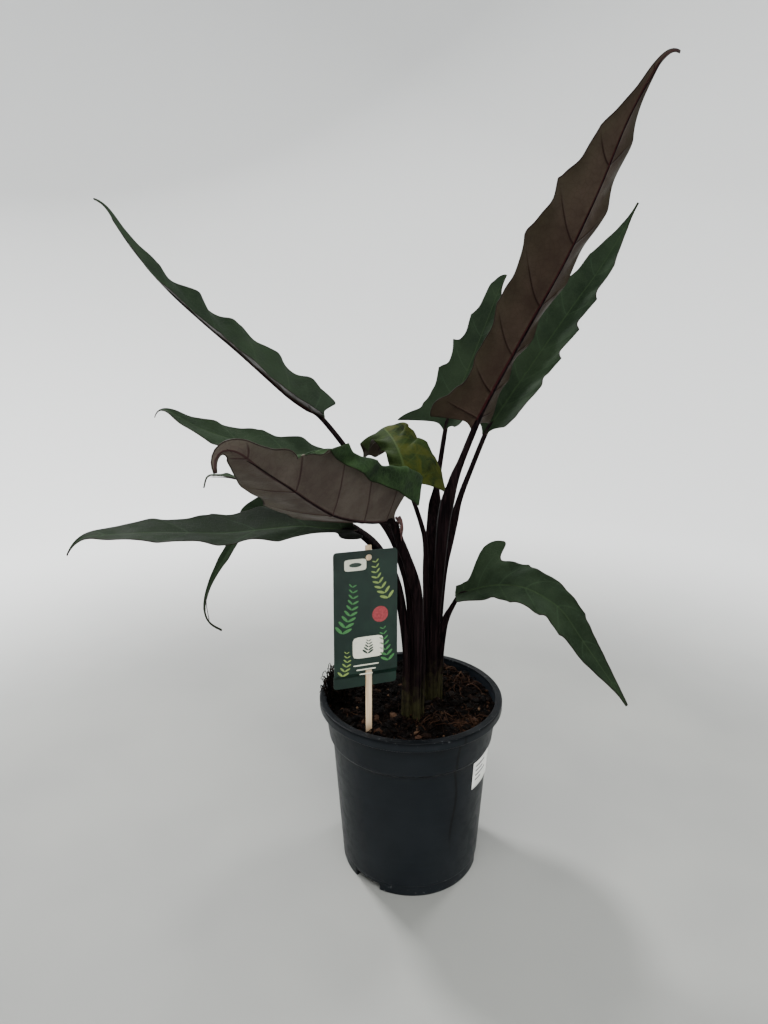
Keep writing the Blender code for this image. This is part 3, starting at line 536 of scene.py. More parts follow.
def buildLeafGroup():
    # Masks of a blade: midrib, side veins, margin line, fine net and how near the margin.
    group, given, put = newGroup("leafMarks", {"Rib width": 0.0015, "Vein width": 0.0009},
                                 ("Rib", "Vein", "Edge", "Net", "Outer"))
    rib, vein, edge, reach, share = (readNumber(group, name) for name in blade["numbers"])
    narrowing = calculate("MULTIPLY_ADD", share, -0.75, 1.0)
    ribShare = calculate("DIVIDE", rib, times(given["Rib width"], narrowing))
    veinShare = calculate("DIVIDE", vein, given["Vein width"])
    cells = addNode("TexVoronoi", {"Vector": objectPlace(group), "Scale": 210.0},
                    feature="DISTANCE_TO_EDGE")["Distance"]
    feed(group, put, {
        "Rib": ramp(ribShare, 1.25, 0.65),
        "Vein": times(ramp(veinShare, 1.3, 0.35), ramp(reach, 0.98, 0.55)),
        "Edge": ramp(edge, 0.0011, 0.0005),
        "Net": ramp(cells, 0.10, 0.0),
        "Outer": ramp(reach, 0.35, 1.0)})
    return group


leafGroup = buildLeafGroup()


def yellowPatches(tree):
    # Turning yellow towards the margin of the far half.
    spots = cloud(objectPlace(tree), 60.0, 3.0, 0.6, 0.8)
    across = axes(addNode("UVMap", {}, tree)[0])["X"]
    wander = plus(across, times(spots, 0.3))
    return times(ramp(spots, 0.40, 0.60), ramp(wander, 0.62, 0.80))


def leafFinish(side, name, look):
    values = sides[side]
    finish, tree, grain = startFinish("leaf%s_%s" % (side, name), values["sizes"])
    lines = dict(zip(("Rib width", "Vein width"), values["lines"]))
    marks = addNode("Group", lines, tree, node_tree=leafGroup)
    masks = dict(grain.items() + marks.items())
    if "yellow" in look:
        masks["Yellow"] = yellowPatches(tree)
    colour = mix(masks["Patches"], *(look[key] for key in values["clouds"]))
    for mask, share, tint in values["layers"]:
        if tint in look:
            colour = layer(colour, masks[mask], share, look[tint])
    height = plus(times(masks["Grain"], 0.5), times(masks["Net"], values["netHeight"]))
    dress(finish, colour, ramp(masks["Specks"], 0.0, 1.0, *values["rough"]),
          (height, *values["bump"]), values["level"])
    return finish


def bladeHalfWidth(leaf, share, half):
    if half in leaf["widths"]:
        shares, known = zip(*leaf["widths"][half])
        width = float(np.interp(100 * share, shares, known)) / 1000
    else:
        flare = blade["lobeFlare"]
        notch = (1 + flare - leaf["lobe"][half]) * exp(-share / leaf["lobeSpread"])
        outline = (1 - share) ** 0.9 * (1 + blade["belly"] * share)
        outline *= 1 + flare * exp(-share / blade["flareSpread"]) - notch
        narrow = blade["dripWidth"]
        drip = narrow + (1 - narrow) * min(1.0, (1 - share) / blade["dripShare"])
        width = leaf["halfWidth"][half] * outline * (1 - leaf["taper"][half] * share) * drip
    vein = share ** (1 / blade["rowPower"]) * leaf["veins"]
    # Pointed teeth where the side veins end, shallow bays between them.
    tooth = 1 - 2 * abs(cos(pi * vein))
    scallop = 1 + leaf["scallop"] * tooth * sin(pi * share)
    fine = 1 + blade["fineScallop"] * sin(2 * pi * vein * blade["fineRate"] + half)
    return max(blade["tipHalfWidth"], width * scallop * fine)


def veinAngle(leaf, share, half):
    fan = leaf["fan"][half] * exp(-share / blade["fanSpread"])
    return radians(blade["veinLean"] + fan)


def crossSection(leaf, half, share, reach):
    # Out and up from the midrib, bent by the rise, the curl and a margin that flaps over.
    flap = leaf["flap"]
    flapping = flap is not None and flap["half"] == half
    fade = 1 - blade["troughFade"] * share
    steps = blade["sectionSteps"]
    outward, upward = 0.0, 0.0
    if flapping:
        start = flap["start"] - flap["baseDrop"] * exp(-share / flap["dropSpread"])
        bend = flap["bend"] * easeBetween(flap["reach"] - share, 0.0, flap["fade"])
    for step in range(steps):
        spot = reach * (step + 0.5) / steps
        slope = (leaf["rise"][half] + leaf["curl"][half] * spot) * fade
        if flapping:
            slope += bend * min(1.0, max(0.0, (spot - start) * blade["foldRate"]))
        outward += cos(radians(slope)) * reach / steps
        upward += sin(radians(slope)) * reach / steps
    return outward, upward


def bladePoint(leaf, frames, order, reach, half):
    # order runs along the leaf in even steps of its veins, reach from midrib to margin.
    share = order ** blade["rowPower"]
    length = frames["length"]
    angle = veinAngle(leaf, share, half)
    width = bladeHalfWidth(leaf, share, half)
    lean = width / sin(angle) * reach ** blade["veinBend"] * cos(angle)
    along = length * share ** blade["veinRootPower"] + lean
    # The blade runs a little down the stalk on both sides.
    end = blade["decurrentEnd"]
    down = hump(width * reach, blade["decurrentWidth"]) * easeBetween(end - share, 0, end)
    along = min(along - blade["decurrent"] * down, length)
    outward, upward = crossSection(leaf, half, share, reach)
    up, ahead = readAlong(frames, "up", along), readAlong(frames, "ahead", along)
    sideways = ahead.cross(up).normalized() * (2 * half - 1)
    place = readAlong(frames, "places", along) + ahead * min(along, 0.0)
    phase = order * leaf["veins"]
    ripple = cos(2 * pi * phase + half * pi / 2)
    even, vary, rate = blade["ripple"]
    ripple *= even + vary * sin(rate * phase + 2 * half + len(leaf["midrib"]))
    fade = sin(pi * min(1.0, share + blade["waveAtBase"]))
    lift = leaf["wave"] * (1.0 if half else leaf["nearWave"]) * ripple * reach ** 2 * fade
    # Relief: quilted between the veins, a groove along the midrib, a frilled margin.
    size = leaf["halfWidth"][half] / blade["quiltWidth"]
    quilt = cos(pi * phase) ** 2
    across = reach * (1 - 2 * blade["quiltEnds"]) + blade["quiltEnds"]
    quilt *= sin(pi * min(1.0, across)) ** blade["quiltPower"]
    lift += blade["quilt"] * size * (quilt - 0.5) * fade * min(1.0, reach * 8)
    lift -= blade["ribGroove"] * hump(width * reach, blade["grooveWidth"]) * (1 - share)
    frill = sin(2 * pi * phase * blade["fineRate"] + 1.7 * half)
    lift += blade["fineWave"] * frill * easeBetween(reach, blade["frillStart"], 1.0) * fade
    return place + sideways * (width * outward) + up * (width * upward + lift), width


def makeBlade(name, leaf):
    frames = carriedFrames(smoothPath(leaf["midrib"], blade["pathSamples"]), leaf["facing"])
    veins, perVein = leaf["veins"], len(blade["veinRows"])
    veinRow = blade["veinRows"].index(0.5)
    orders = [(cell + row) / veins for cell in range(veins) for row in blade["veinRows"]] + [1.0]
    columns = leaf["columns"]
    reaches = [-reach for reach in reversed(columns[1:])] + list(columns)
    lastRow, lastColumn = len(orders) - 1, len(reaches) - 1
    points, widths = {}, {}
    for row, order in enumerate(orders):
        for column, reach in enumerate(reaches):
            spot, half = (row, column), 0 if reach < 0 else 1
            points[spot], widths[spot] = bladePoint(leaf, frames, order, abs(reach), half)

    def placeOf(u, v):
        column, row = round(u * lastColumn), round(v * lastRow)
        reach, share = abs(reaches[column]), orders[row] ** blade["rowPower"]
        half = 0 if reaches[column] < 0 else 1
        place, lean = points[row, column], sin(veinAngle(leaf, share, half))
        nearest = min(veins - 1, row // perVein) * perVein + veinRow
        fromVein = (place - points[nearest, column]).length * lean
        fromEdge = (place - points[row, half * lastColumn]).length * lean
        return place, (widths[row, column] * reach, fromVein, fromEdge, reach, share)

    bm = gridSheet(lastColumn, lastRow, placeOf, blade["numbers"])
    numbers = [bm.verts.layers.float[key] for key in blade["numbers"] if key != "edgeDistance"]
    full = blade["thickness"] + blade["ribDepth"]
    fadeStart, fadeEnd, fade = blade["veinFade"]
    weights = []
    for point in bm.verts:
        rib, vein, reach, share = (point[number] for number in numbers)
        depth = blade["thickness"] + blade["ribDepth"] * hump(rib, blade["ribSpread"]) * (1 - share)
        veinDepth = blade["veinDepth"] * hump(vein, blade["veinSpread"])
        depth += veinDepth * (1 - easeBetween(reach, fadeStart, fadeEnd)) * (1 - fade * share)
        weights.append(min(1.0, depth / full))
    finishes = [leafFinish(side, name, leaf["look"]) for side in sides]
    sheet = makePiece("leaf_" + name, bm, finishes, ("blade_" + name,))
    depths = sheet.vertex_groups.new(name="depths")
    for index, weight in enumerate(weights):
        depths.add([index], weight, "REPLACE")
    smooth = sheet.modifiers.new("smooth", "SUBSURF")
    smooth.levels = smooth.render_levels = 1
    solid = thicken(sheet, full, -1.0)
    solid.vertex_group = "depths"
    solid.material_offset = solid.material_offset_rim = 1
    return frames


# Leaf stalks, fluted, with the sheath of each one's lower part.
stalk = {
    "soilTop": 0.167, "footDepth": 0.018, "footRadius": 0.0036, "waistHeight": 0.240,
    "sides": 28, "rowStep": 0.0035, "flutes": 7, "fluteDepth": 0.035, "lumpDepth": 0.03,
    "lumpRate": 40, "sheathWidth": 0.22, "sheathTwist": 1.2, "endSize": 0.15,
    "furrow": (0.5, 0.42, 0.16),    # depth, place beside the edge and width, of the sheath
    "sheathFade": 0.010, "wingFade": 0.022, "ribStart": 0.62, "ribEnd": 0.0004,
    "ribShares": (0.05, 0.12, 0.22, 0.35, 0.5, 0.65, 0.8, 0.92),
    "ribGap": 0.0009,    # from a blade's upper face down to the top of its midrib
    "firstGap": 0.02,    # clear height below the first point that a leaf gives
    "facing": (1.0, 0.3, 0.0), "fluteTwist": 9,
}


def clumpPlace(clump, angle, height):
    values = clumps[clump]
    low = stalk["soilTop"] - stalk["footDepth"]
    share = (height - low) / (stalk["waistHeight"] - low)
    middle = Vector(values["foot"]).lerp(Vector(values["waist"]), share) + Vector((0, 0, height))
    if angle is None:
        return middle
    return middle + aroundAxis(values["ring"], radians(angle))


def stalkRoute(leaf, frames):
    soilTop, waist = stalk["soilTop"], stalk["waistHeight"]
    heights = (soilTop - stalk["footDepth"], soilTop, (soilTop + waist) / 2, waist)
    lowTop = leaf["stalk"][0][2] - stalk["firstGap"]
    route = [(*clumpPlace(leaf["clump"], leaf["place"], height), stalk["footRadius"])
             for height in heights if height < lowTop]
    route += leaf["stalk"]
    back, under = leaf["seat"]
    seat = (readAlong(frames, "places", 0.0) - readAlong(frames, "ahead", 0.0) * back
            - readAlong(frames, "up", 0.0) * under)
    route.append((*seat, leaf["neck"]))
    for share in stalk["ribShares"]:
        # The stalk runs on as the round midrib under the blade.
        radius = leaf["neck"] * leaf["ribSize"] * stalk["ribStart"]
        radius = max(stalk["ribEnd"], radius * (1 - share) ** 0.9)
        along = share * frames["length"]
        drop = readAlong(frames, "up", along) * (radius + stalk["ribGap"])
        route.append((*(readAlong(frames, "places", along) - drop), radius))
    return route


def makeStalk(name, leaf, frames, finish):
    route = stalkRoute(leaf, frames)
    length = np.linalg.norm(np.diff(np.array(route)[:, :3], axis=0), axis=1).sum()
    rows = int(length / stalk["rowStep"])
    path = smoothPath(route, rows + 1)
    tube = carriedFrames(path[:, :3], stalk["facing"])
    sheathTop, sheathSide, sheathSize = leaf["sheath"]
    wingTop, wingSize = leaf["wing"]
    phase = len(name)
    furrow, beside, wide = stalk["furrow"]

    def placeOf(u, v):
        row = round(v * rows)
        angle = 2 * pi * u
        radius, height = path[row, 3], path[row, 2]
        centre, up, ahead = (Vector(tube[key][row]) for key in ("places", "up", "ahead"))
        flute = stalk["flutes"] * angle + phase + stalk["fluteTwist"] * v
        bulge = 1 + stalk["fluteDepth"] * cos(flute)
        # The sheath's edge stands out beside a shallow furrow.
        size = sheathSize * easeBetween(sheathTop / 1000 - height, 0.0, stalk["sheathFade"])
        side = radians(sheathSide) + stalk["sheathTwist"] * (v - 0.3)
        gap = (angle - side + pi) % (2 * pi) - pi
        bulge += size * hump(gap, stalk["sheathWidth"]) - furrow * size * hump(gap - beside, wide)
        spot = aroundAxis(3, angle, height * stalk["lumpRate"]) + Vector((phase, 0, 0))
        bulge += stalk["lumpDepth"] * noise.noise(spot)
        bulge *= stalk["endSize"] if row in (0, rows) else 1.0
        wing = 1 + wingSize * easeBetween(wingTop / 1000 - height, 0.0, stalk["wingFade"])
        outward = up * cos(angle) * wing + ahead.cross(up) * sin(angle)
        return centre + outward * radius * bulge, ()

    bm = gridSheet(stalk["sides"], rows, placeOf)
    closeSeams(bm)
    rims = [edge for edge in bm.edges if edge.is_boundary]
    bmesh.ops.holes_fill(bm, edges=rims, sides=stalk["sides"])
    bmesh.ops.recalc_face_normals(bm, faces=bm.faces)
    return makePiece("stem_" + name, bm, (finish,), ("stalk_" + name,))


def stalkFinish():
    finish, tree, grain = startFinish("stalkMaroon", (30, 160, 900))
    streaksAndSheen = cloud(objectPlace(tree, (520.0, 520.0, 14.0)), 1.0, 3.0)
    colour = mix(grain["Patches"], (5, 3, 4), (11, 7, 8))
    # Lighter streaks: partly the stalk's own mottling, partly painted highlights along its ridges.
    colour = layer(colour, ramp(streaksAndSheen, 0.40, 0.66), 0.45, (36, 25, 26))
    # Olive feet, just above the soil.
    wander = plus(axes(objectPlace(tree))["Z"], times(grain["Specks"], 0.03))
    olive = times(ramp(wander, 0.235, 0.178), ramp(streaksAndSheen, 0.30, 0.60, 0.35, 1.0))
    colour = layer(colour, olive, 0.7, (46, 46, 27))
    height = plus(streaksAndSheen, times(grain["Grain"], 0.3))
    dress(finish, colour, ramp(streaksAndSheen, 0.3, 0.7, 0.50, 0.64), (height, 0.5, 0.0005), 0.015)
    return finish


stalkMaroon = stalkFinish()
for leafName, leafValues in leaves.items():
    leafValues = readLeaf(leafValues)
    leafFrames = makeBlade(leafName, leafValues)
    makeStalk(leafName, leafValues, leafFrames, stalkMaroon)
print("leaves and stalks made")


# Nursery pot.
pot = {
    "height": 0.177, "rimRadius": 0.0955, "baseRadius": 0.0714, "wall": 0.0016, "slope": 0.0777,
    "lipBottom": 0.168, "collarBottom": 0.1375, "collarLow": 0.0858, "collarTop": 0.0900,
    "collarStep": 0.0036, "innerStep": 0.0045, "footHeight": 0.011, "footWidth": 0.006,
    "hubRadius": 0.016, "notches": 3, "firstNotch": -129, "notchWidth": 0.030,
    "notchHeight": 0.007, "notchRound": 0.0003, "notchReach": 0.05, "notchSlope": 0.15,
    "steps": 144,
}


def wallRadius(height):
    return pot["baseRadius"] + pot["slope"] * height


def potFinish():
    finish, tree, grain = startFinish("potPlastic", (22, 120, 1100))
    place = objectPlace(tree)
    parts = axes(place)
    colour = mix(grain["Patches"], (16, 20, 24), (20, 24, 28))
    # Mould flow: faint bands that run round.
    bands = cloud(objectPlace(tree, (9.0, 9.0, 160.0)), 1.0, 3.0)
    colour = layer(colour, ramp(bands, 0.5, 0.75), 0.25, (25, 30, 34))
    # A dark seam line down the right of the front.
    turned = plus(times(parts["X"], 0.866), times(parts["Y"], 0.5))
    bow = times(calculate("SINE", times(parts["Z"], 75.0)), 0.0022)
    away = calculate("ABSOLUTE", calculate("SUBTRACT", turned, bow))
    seam = times(ramp(away, 0.0020, 0.0007), ramp(parts["Y"], 0.0, -0.02))
    seam = times(seam, ramp(parts["Z"], 0.03, 0.08))
    colour = layer(colour, seam, 0.9, (2, 2, 3))
    # Painted shade darkens the lip's top, which is also duller there; rubbed marks lie there and at
    # the foot.
    lipTopShade = ramp(parts["Z"], 0.1725, 0.1768)
    worn = calculate("MAXIMUM", lipTopShade, ramp(parts["Z"], 0.02, 0.0))
    dust = cloud(place, 260.0, 4.0, 0.7)
    scuffs = times(ramp(dust, 0.60, 0.74), worn)
    colour = layer(colour, lipTopShade, 0.8, (5, 6, 7))
    colour = layer(colour, scuffs, 0.5, (120, 122, 122))
    dress(finish, colour, ramp(grain["Specks"], 0.0, 1.0, 0.38, 0.46),
          (plus(grain["Grain"], bands), 0.12, 0.0004),
          calculate("SUBTRACT", 0.14, times(lipTopShade, 0.10)))
    return finish


def makePot():
    wall, height, lipLow, ring = pot["wall"], pot["height"], pot["lipBottom"], pot["collarBottom"]
    low, high, rim, hub = (pot[key] for key in ("collarLow", "collarTop", "rimRadius", "hubRadius"))
    foot, base = pot["footHeight"], pot["baseRadius"]
    floorTop, footInside = foot + wall, base - pot["footWidth"]
    corners = [
        (0.0, floorTop, 0), (wallRadius(floorTop) - 2 * wall, floorTop, 0.003),
        (wallRadius(ring) - wall, ring, 0.001), (low - wall, ring + pot["innerStep"], 0.001),
        (high - wall, lipLow, 0.002), (high - wall, height, 0.0009), (rim, height, 0.0012),
        (rim, lipLow, 0.0012), (high, lipLow, 0.0008), (low, ring, 0.0010),
        (wallRadius(ring), ring - pot["collarStep"], 0.0016), (wallRadius(foot), foot, 0.0006),
        (wallRadius(foot) - 0.0003, foot - 0.0006, 0.0004), (base, 0.0, 0.0014),
        (footInside, 0.0, 0.0012), (footInside, foot, 0.001), (hub, foot, 0.001),
        (hub, 0.0, 0.001), (0.0, 0.0, 0),
    ]
    bm = spinOutline(roundedProfile(corners), pot["steps"])
    for index in range(pot["notches"]):
        cutNotch(bm, radians(360 * index / pot["notches"] + pot["firstNotch"]))
    bmesh.ops.recalc_face_normals(bm, faces=bm.faces)
    return makePiece("pot", bm, (potFinish(),), ("nursery_pot",))


def cutNotch(bm, angle):
    # Lifts the foot ring between two cuts a little apart on each side of the notch.
    outward = aroundAxis(1.0, angle)
    across = Vector((-outward.y, outward.x, 0.0))
    half, low, soft = pot["notchWidth"] / 2, pot["notchHeight"], pot["notchRound"]
    for offset in (-half, soft - half, half - soft, half):
        near = [face for face in bm.faces if face.calc_center_median().z < pot["footHeight"]
                and face.calc_center_median().dot(outward) > pot["hubRadius"] * 1.5]
        edges = dict.fromkeys(edge for face in near for edge in face.edges)
        verts = dict.fromkeys(point for face in near for point in face.verts)
        bmesh.ops.bisect_plane(bm, geom=near + list(edges) + list(verts),
                               plane_co=across * offset, plane_no=across, dist=0.00002)
    for point in bm.verts:
        inside = abs(point.co.dot(across)) < half - 0.0002
        if inside and point.co.dot(outward) > pot["notchReach"] and point.co.z < low:
            point.co.z = low + pot["notchSlope"] * point.co.z


makePot()
print("pot made")


# Soil, with its crumbs, fibres and the tuft of coir over the rim.
soil = {
    "top": 0.167, "mound": 0.004, "lump": 0.0018, "rates": (171, 203, 390, 310),
    "rough": 0.0014, "edgeDrop": 0.002, "edgeFade": 0.008, "rings": 46, "steps": 150,
    "gap": 0.0004, "skin": 0.0022, "crumbs": 2600, "clods": 260, "fibres": 420,
    "crumbSize": (0.0006, 0.0019), "clodSize": (0.0022, 0.0046), "crumbJitter": 0.22,
    "strandRadius": (0.00018, 0.00046), "strandRise": 0.0035, "strandTone": (0.45, 0.52),
    "coirRadius": (0.00020, 0.00050), "strandSteps": 6, "strandStep": (0.0012, 0.0042),
    "strandTurn": 0.75, "strandLift": 0.0006, "roughRate": 150, "edgeGap": 0.0012,
    "crumbSink": 0.25, "crumbTilt": 0.6, "crumbStretch": ((0.7, 1.9), (0.6, 1.1), (0.5, 1.0)),
    # Loose coir: middle, spread, how many strands, how high they reach, how pale.
    "heaps": ((0.053, -0.051, 0.010, 80, 0.006, 0.76), (0.009, -0.046, 0.010, 60, 0.006, 0.66),
              (0.057, 0.032, 0.013, 60, 0.006, 0.70), (0.044, 0.056, 0.010, 40, 0.006, 0.74),
              (-0.050, -0.040, 0.012, 30, 0.004, 0.62)),
    # Lighter crumbs and strands: from which tone, to which, and their colour.
    "tones": ((0.50, 0.90, (18, 10, 6)), (0.88, 0.97, (46, 31, 22)), (0.975, 0.998, (80, 62, 46))),
}


def soilHeight(x, y):
    reach = hypot(x, y) / pot["rimRadius"]
    first, second, third, fourth = soil["rates"]
    lumps = sin(first * x + 0.7) * sin(second * y + 1.9)
    lumps += 0.5 * sin(third * x + fourth * y)
    rate = soil["roughRate"]
    rough = noise.fractal(Vector((x * rate, y * rate, 3.0)), 1.0, 2.0, 4)
    return (soil["top"] + soil["mound"] * (1 - reach ** 2)
            + soil["lump"] * lumps + soil["rough"] * rough)


def soilEdgeRadius():
    share = soil["top"] - soil["edgeDrop"] - pot["collarBottom"]
    share /= pot["lipBottom"] - pot["collarBottom"]
    radius = pot["collarLow"] + (pot["collarTop"] - pot["collarLow"]) * share
    return radius - pot["wall"] - soil["gap"]


def soilSpot(x, y):
    edge, low = soilEdgeRadius(), soil["top"] - soil["edgeDrop"]
    fade = min(1.0, max(0.0, (edge - hypot(x, y)) / soil["edgeFade"]))
    return low + (soilHeight(x, y) - low) * fade


def soilFinish(name, lighter):
    finish, tree, grain = startFinish(name, (60, 420, 1600))
    colour = mix(grain["Patches"], (2, 1, 1), (4, 3, 2))
    colour = layer(colour, grain["Specks"], 0.3, (10, 6, 4))
    if lighter:
        tone = readNumber(tree, "crumbTone")
        for low, high, tint in soil["tones"]:
            colour = mix(ramp(tone, low, high), colour, tint)
    dress(finish, colour, ramp(grain["Specks"], 0.0, 1.0, 0.85, 0.97),
          (plus(grain["Grain"], grain["Specks"]), 0.9, 0.0008), 0.04)
    return finish


def makeSoil():
    edge, low = soilEdgeRadius(), soil["top"] - soil["edgeDrop"]
    rings, skin, ring = soil["rings"], soil["skin"], pot["collarBottom"]
    floor = pot["footHeight"] + pot["wall"] + soil["gap"]
    outline = [(edge * step / rings, low) for step in range(rings + 1)]
    outline += [(pot["collarLow"] - skin, ring + pot["innerStep"]), (wallRadius(ring) - skin, ring),
                (wallRadius(floor) - 2 * skin, floor), (0.0, floor)]
    bm = spinOutline(outline, soil["steps"])
    for point in bm.verts:
        if point.co.z > low - 0.0001:
            point.co.z = soilSpot(point.co.x, point.co.y)
    makePiece("soilBed", bm, (soilFinish("soilDark", False),), ("soil",))


def startScatter():
    # An empty mesh whose points carry a tone, and how far from the middle it may reach.
    bm = bmesh.new()
    return bm, bm.verts.layers.float.new("crumbTone"), soilEdgeRadius() - soil["edgeGap"]


def scatterCrumbs():
    bm, tone, edge = startScatter()
    smallest, more = soil["crumbSize"]
    for index in range(soil["crumbs"]):
        turn, reach = dice.uniform(0, 2 * pi), edge * sqrt(dice.random())
        size = smallest + more * dice.random() ** 2.2
        if index < soil["clods"]:
            size, reach = dice.uniform(*soil["clodSize"]), reach * 0.95
        x, y = reach * cos(turn), reach * sin(turn)
        stretch = [dice.uniform(*pair) for pair in soil["crumbStretch"]] + [1.0]
        tilt = Matrix.Rotation(dice.uniform(0, pi), 4, "Z")
        tilt @= Matrix.Rotation(dice.uniform(-soil["crumbTilt"], soil["crumbTilt"]), 4, "X")
        place = Matrix.Translation((x, y, soilSpot(x, y) + size * soil["crumbSink"]))
        made = bmesh.ops.create_icosphere(bm, subdivisions=1, radius=size,
                                          matrix=place @ tilt @ Matrix.Diagonal(stretch))
        value = dice.random()
        for point in made["verts"]:
            point[tone] = value
            shift = Vector([dice.uniform(-1, 1) for axis in range(3)])
            point.co += shift * size * soil["crumbJitter"]
    makePiece("soilCrumbs", bm, (soilFinish("soilCrumb", True),), flat=True)


def addStrand(bm, path, radius, tone, value):
    # A thin three-sided thread along a few points.
    last = len(path) - 1
    made = bmesh.ops.create_grid(bm, x_segments=3, y_segments=last, size=0.5)
    for point in made["verts"]:
        row, turn = round((point.co.y + 0.5) * last), 2 * pi * (point.co.x + 0.5)
        ahead = (path[min(row + 1, last)] - path[max(row - 1, 0)]).normalized()
        side = ahead.orthogonal()
        thin = radius * (0.35 if row in (0, last) else 1.0)
        point.co = path[row] + (side * cos(turn) + ahead.cross(side) * sin(turn)) * thin
        point[tone] = value


def finishStrands(name, bm, finish):
    closeSeams(bm, 0.000001)
    makePiece(name, bm, (finish,))


def strandShares():
    return [step / soil["strandSteps"] for step in range(soil["strandSteps"] + 1)]


def fibrePath(x, y, height, edge):
    # Wanders over the soil with an arch to it.
    heading, step = dice.uniform(0, 2 * pi), dice.uniform(*soil["strandStep"])
    arch, path, steps = height * dice.random(), [], soil["strandSteps"]
    for index in range(steps + 1):
        reach = hypot(x, y)
        if reach > edge:
            x, y = x * edge / reach, y * edge / reach
        lift = soil["strandLift"] + arch * sin(pi * index / steps)
        path.append(Vector((x, y, soilSpot(x, y) + lift)))
        heading += dice.uniform(-soil["strandTurn"], soil["strandTurn"])
        x, y = x + step * cos(heading), y + step * sin(heading)
    return path


# The tuft that leans over the rim on the left. Pairs are from and to, or middle and spread.
tuft = {"count": 260, "turn": (176, 7), "reach": (0.073, 0.085), "tall": (0.008, 0.040),
        "short": (0.5, 1.0), "lean": (-0.008, 0.012), "twist": (-1.2, 1.2),
        "sway": (-0.006, 0.006), "foot": 0.165, "radius": (0.00025, 0.0007), "tone": (0.45, 0.93)}


def tuftPath():
    turn = radians(dice.gauss(*tuft["turn"]))
    reach, tall, short, lean, twist, sway = (
        dice.uniform(*tuft[key]) for key in ("reach", "tall", "short", "lean", "twist", "sway"))
    path = []
    for share in strandShares():
        spot = reach + lean * share ** 1.5 + sway * sin(pi * share)
        path.append(aroundAxis(spot, turn + 0.10 * twist * share ** 2,
                               tuft["foot"] + tall * short * sin(2.2 * share) / 0.95))
    return path


def scatterFibres():
    bm, tone, edge = startScatter()
    darkest, more = soil["strandTone"]
    for index in range(soil["fibres"]):
        turn, reach = dice.uniform(0, 2 * pi), edge * sqrt(dice.random())
        path = fibrePath(reach * cos(turn), reach * sin(turn), soil["strandRise"], edge)
        addStrand(bm, path, dice.uniform(*soil["strandRadius"]), tone,
                  darkest + more * dice.random() ** 1.3)
    for x, y, spread, count, height, pale in soil["heaps"]:
        for index in range(count):
            path = fibrePath(dice.gauss(x, spread * 0.6), dice.gauss(y, spread * 0.6), height, edge)
            addStrand(bm, path, dice.uniform(*soil["coirRadius"]), tone,
                      dice.uniform(pale + 0.14, 0.985))
    for index in range(tuft["count"]):
        addStrand(bm, tuftPath(), dice.uniform(*tuft["radius"]), tone, dice.uniform(*tuft["tone"]))
    finishStrands("soilFibres", bm, soilFinish("coir", True))


makeSoil()
scatterCrumbs()
scatterFibres()
print("soil made")


# Curled dry remnants that cling to the front leaf's stalk.
scrap = {"top": (-0.0150, -0.058, 0.381), "length": 0.024, "threads": 9, "radius": 0.0007,
         "spread": (0.0012, 0.0016), "curl": 0.0016, "lean": 0.002}


def makeScrap():
    finish, _, grain = startFinish("driedMaroon", (90, 500, 1500))
    dress(finish, mix(grain["Specks"], (36, 16, 16), (84, 46, 42)), 0.7)
    bm, tone, _ = startScatter()
    for index in range(scrap["threads"]):
        turn, path = dice.uniform(0, 2 * pi), []
        for share in strandShares():
            spread = scrap["spread"][0] + scrap["spread"][1] * share
            drop = -scrap["length"] * share * (0.6 + 0.4 * cos(turn))
            side = Vector((scrap["curl"] * sin(turn + 5 * share) + scrap["lean"] * share, 0, 0))
            path.append(Vector(scrap["top"]) + side + aroundAxis(spread, turn, drop))
        addStrand(bm, path, scrap["radius"], tone, 0.5)
    finishStrands("driedScrap", bm, finish)


makeScrap()


# Tag card, its print and its stick.
tag = {
    "bottom": 0.216, "yaw": radians(18), "place": Vector((-0.0455, -0.0625, 0.0)),
    "front": 0.0017, "stickSide": 0.003, "stickWidth": 0.006, "stickThickness": 0.0016,
    "stickBottom": 0.125, "stickTop": 0.3545, "stickRound": 0.00035, "printDepth": 0.00005,
    "printGap": 0.00002, "panelPower": 7, "leafletLean": 0.95, "leafletShrink": 0.55,
    "leafletWidth": 0.30,
    # Sprays: start, end, sag, leaflets and their size. Panels and discs: middle and half sizes.
    "prints": {
        "Fern": {"ink": ((48, 104, 52), (70, 130, 66)),
                 "sprays": (((-0.023, 0.056), (-0.013, 0.100), 0.004, 9, 0.0050),
                            ((0.022, 0.024), (0.017, 0.056), -0.001, 7, 0.0042))},
        "Lime": {"ink": ((110, 132, 62), (138, 156, 84)),
                 "sprays": (((0.022, 0.086), (0.010, 0.122), -0.004, 8, 0.0044),
                            ((-0.023, 0.014), (-0.019, 0.036), 0.002, 6, 0.0034))},
        "Pale": {"ink": ((214, 214, 196), (196, 198, 180)),
                 "panels": ((0.002, 0.040, 0.0150, 0.0105), (-0.010, 0.121, 0.0105, 0.0055),
                            (0.0, 0.0225, 0.0125, 0.0006), (0.0, 0.0180, 0.0095, 0.0006),
                            (0.0, 0.0135, 0.0065, 0.0006))},
        "Deep": {"ink": ((16, 40, 30), (26, 52, 40)), "lift": 0.00012,
                 "sprays": (((0.0015, 0.0335), (0.0025, 0.0455), 0.0006, 5, 0.0034),),
                 "discs": ((-0.010, 0.121, 0.0062, 0.0022, 12),)},
        "Coral": {"ink": ((122, 32, 40), (164, 68, 70)),
                  "discs": ((0.014, 0.071, 0.0078, 0.0078, 28),)},
    },
}
tagAlong = Vector((cos(tag["yaw"]), sin(tag["yaw"]), 0.0))
tagBack = Vector((-sin(tag["yaw"]), cos(tag["yaw"]), 0.0))


def tagSpot(across, height, forward):
    # A place on the card's front: across from its middle, height from its foot.
    return (tag["place"] + tagAlong * across - tagBack * (tag["front"] + forward)
            + Vector((0, 0, tag["bottom"] + height)))


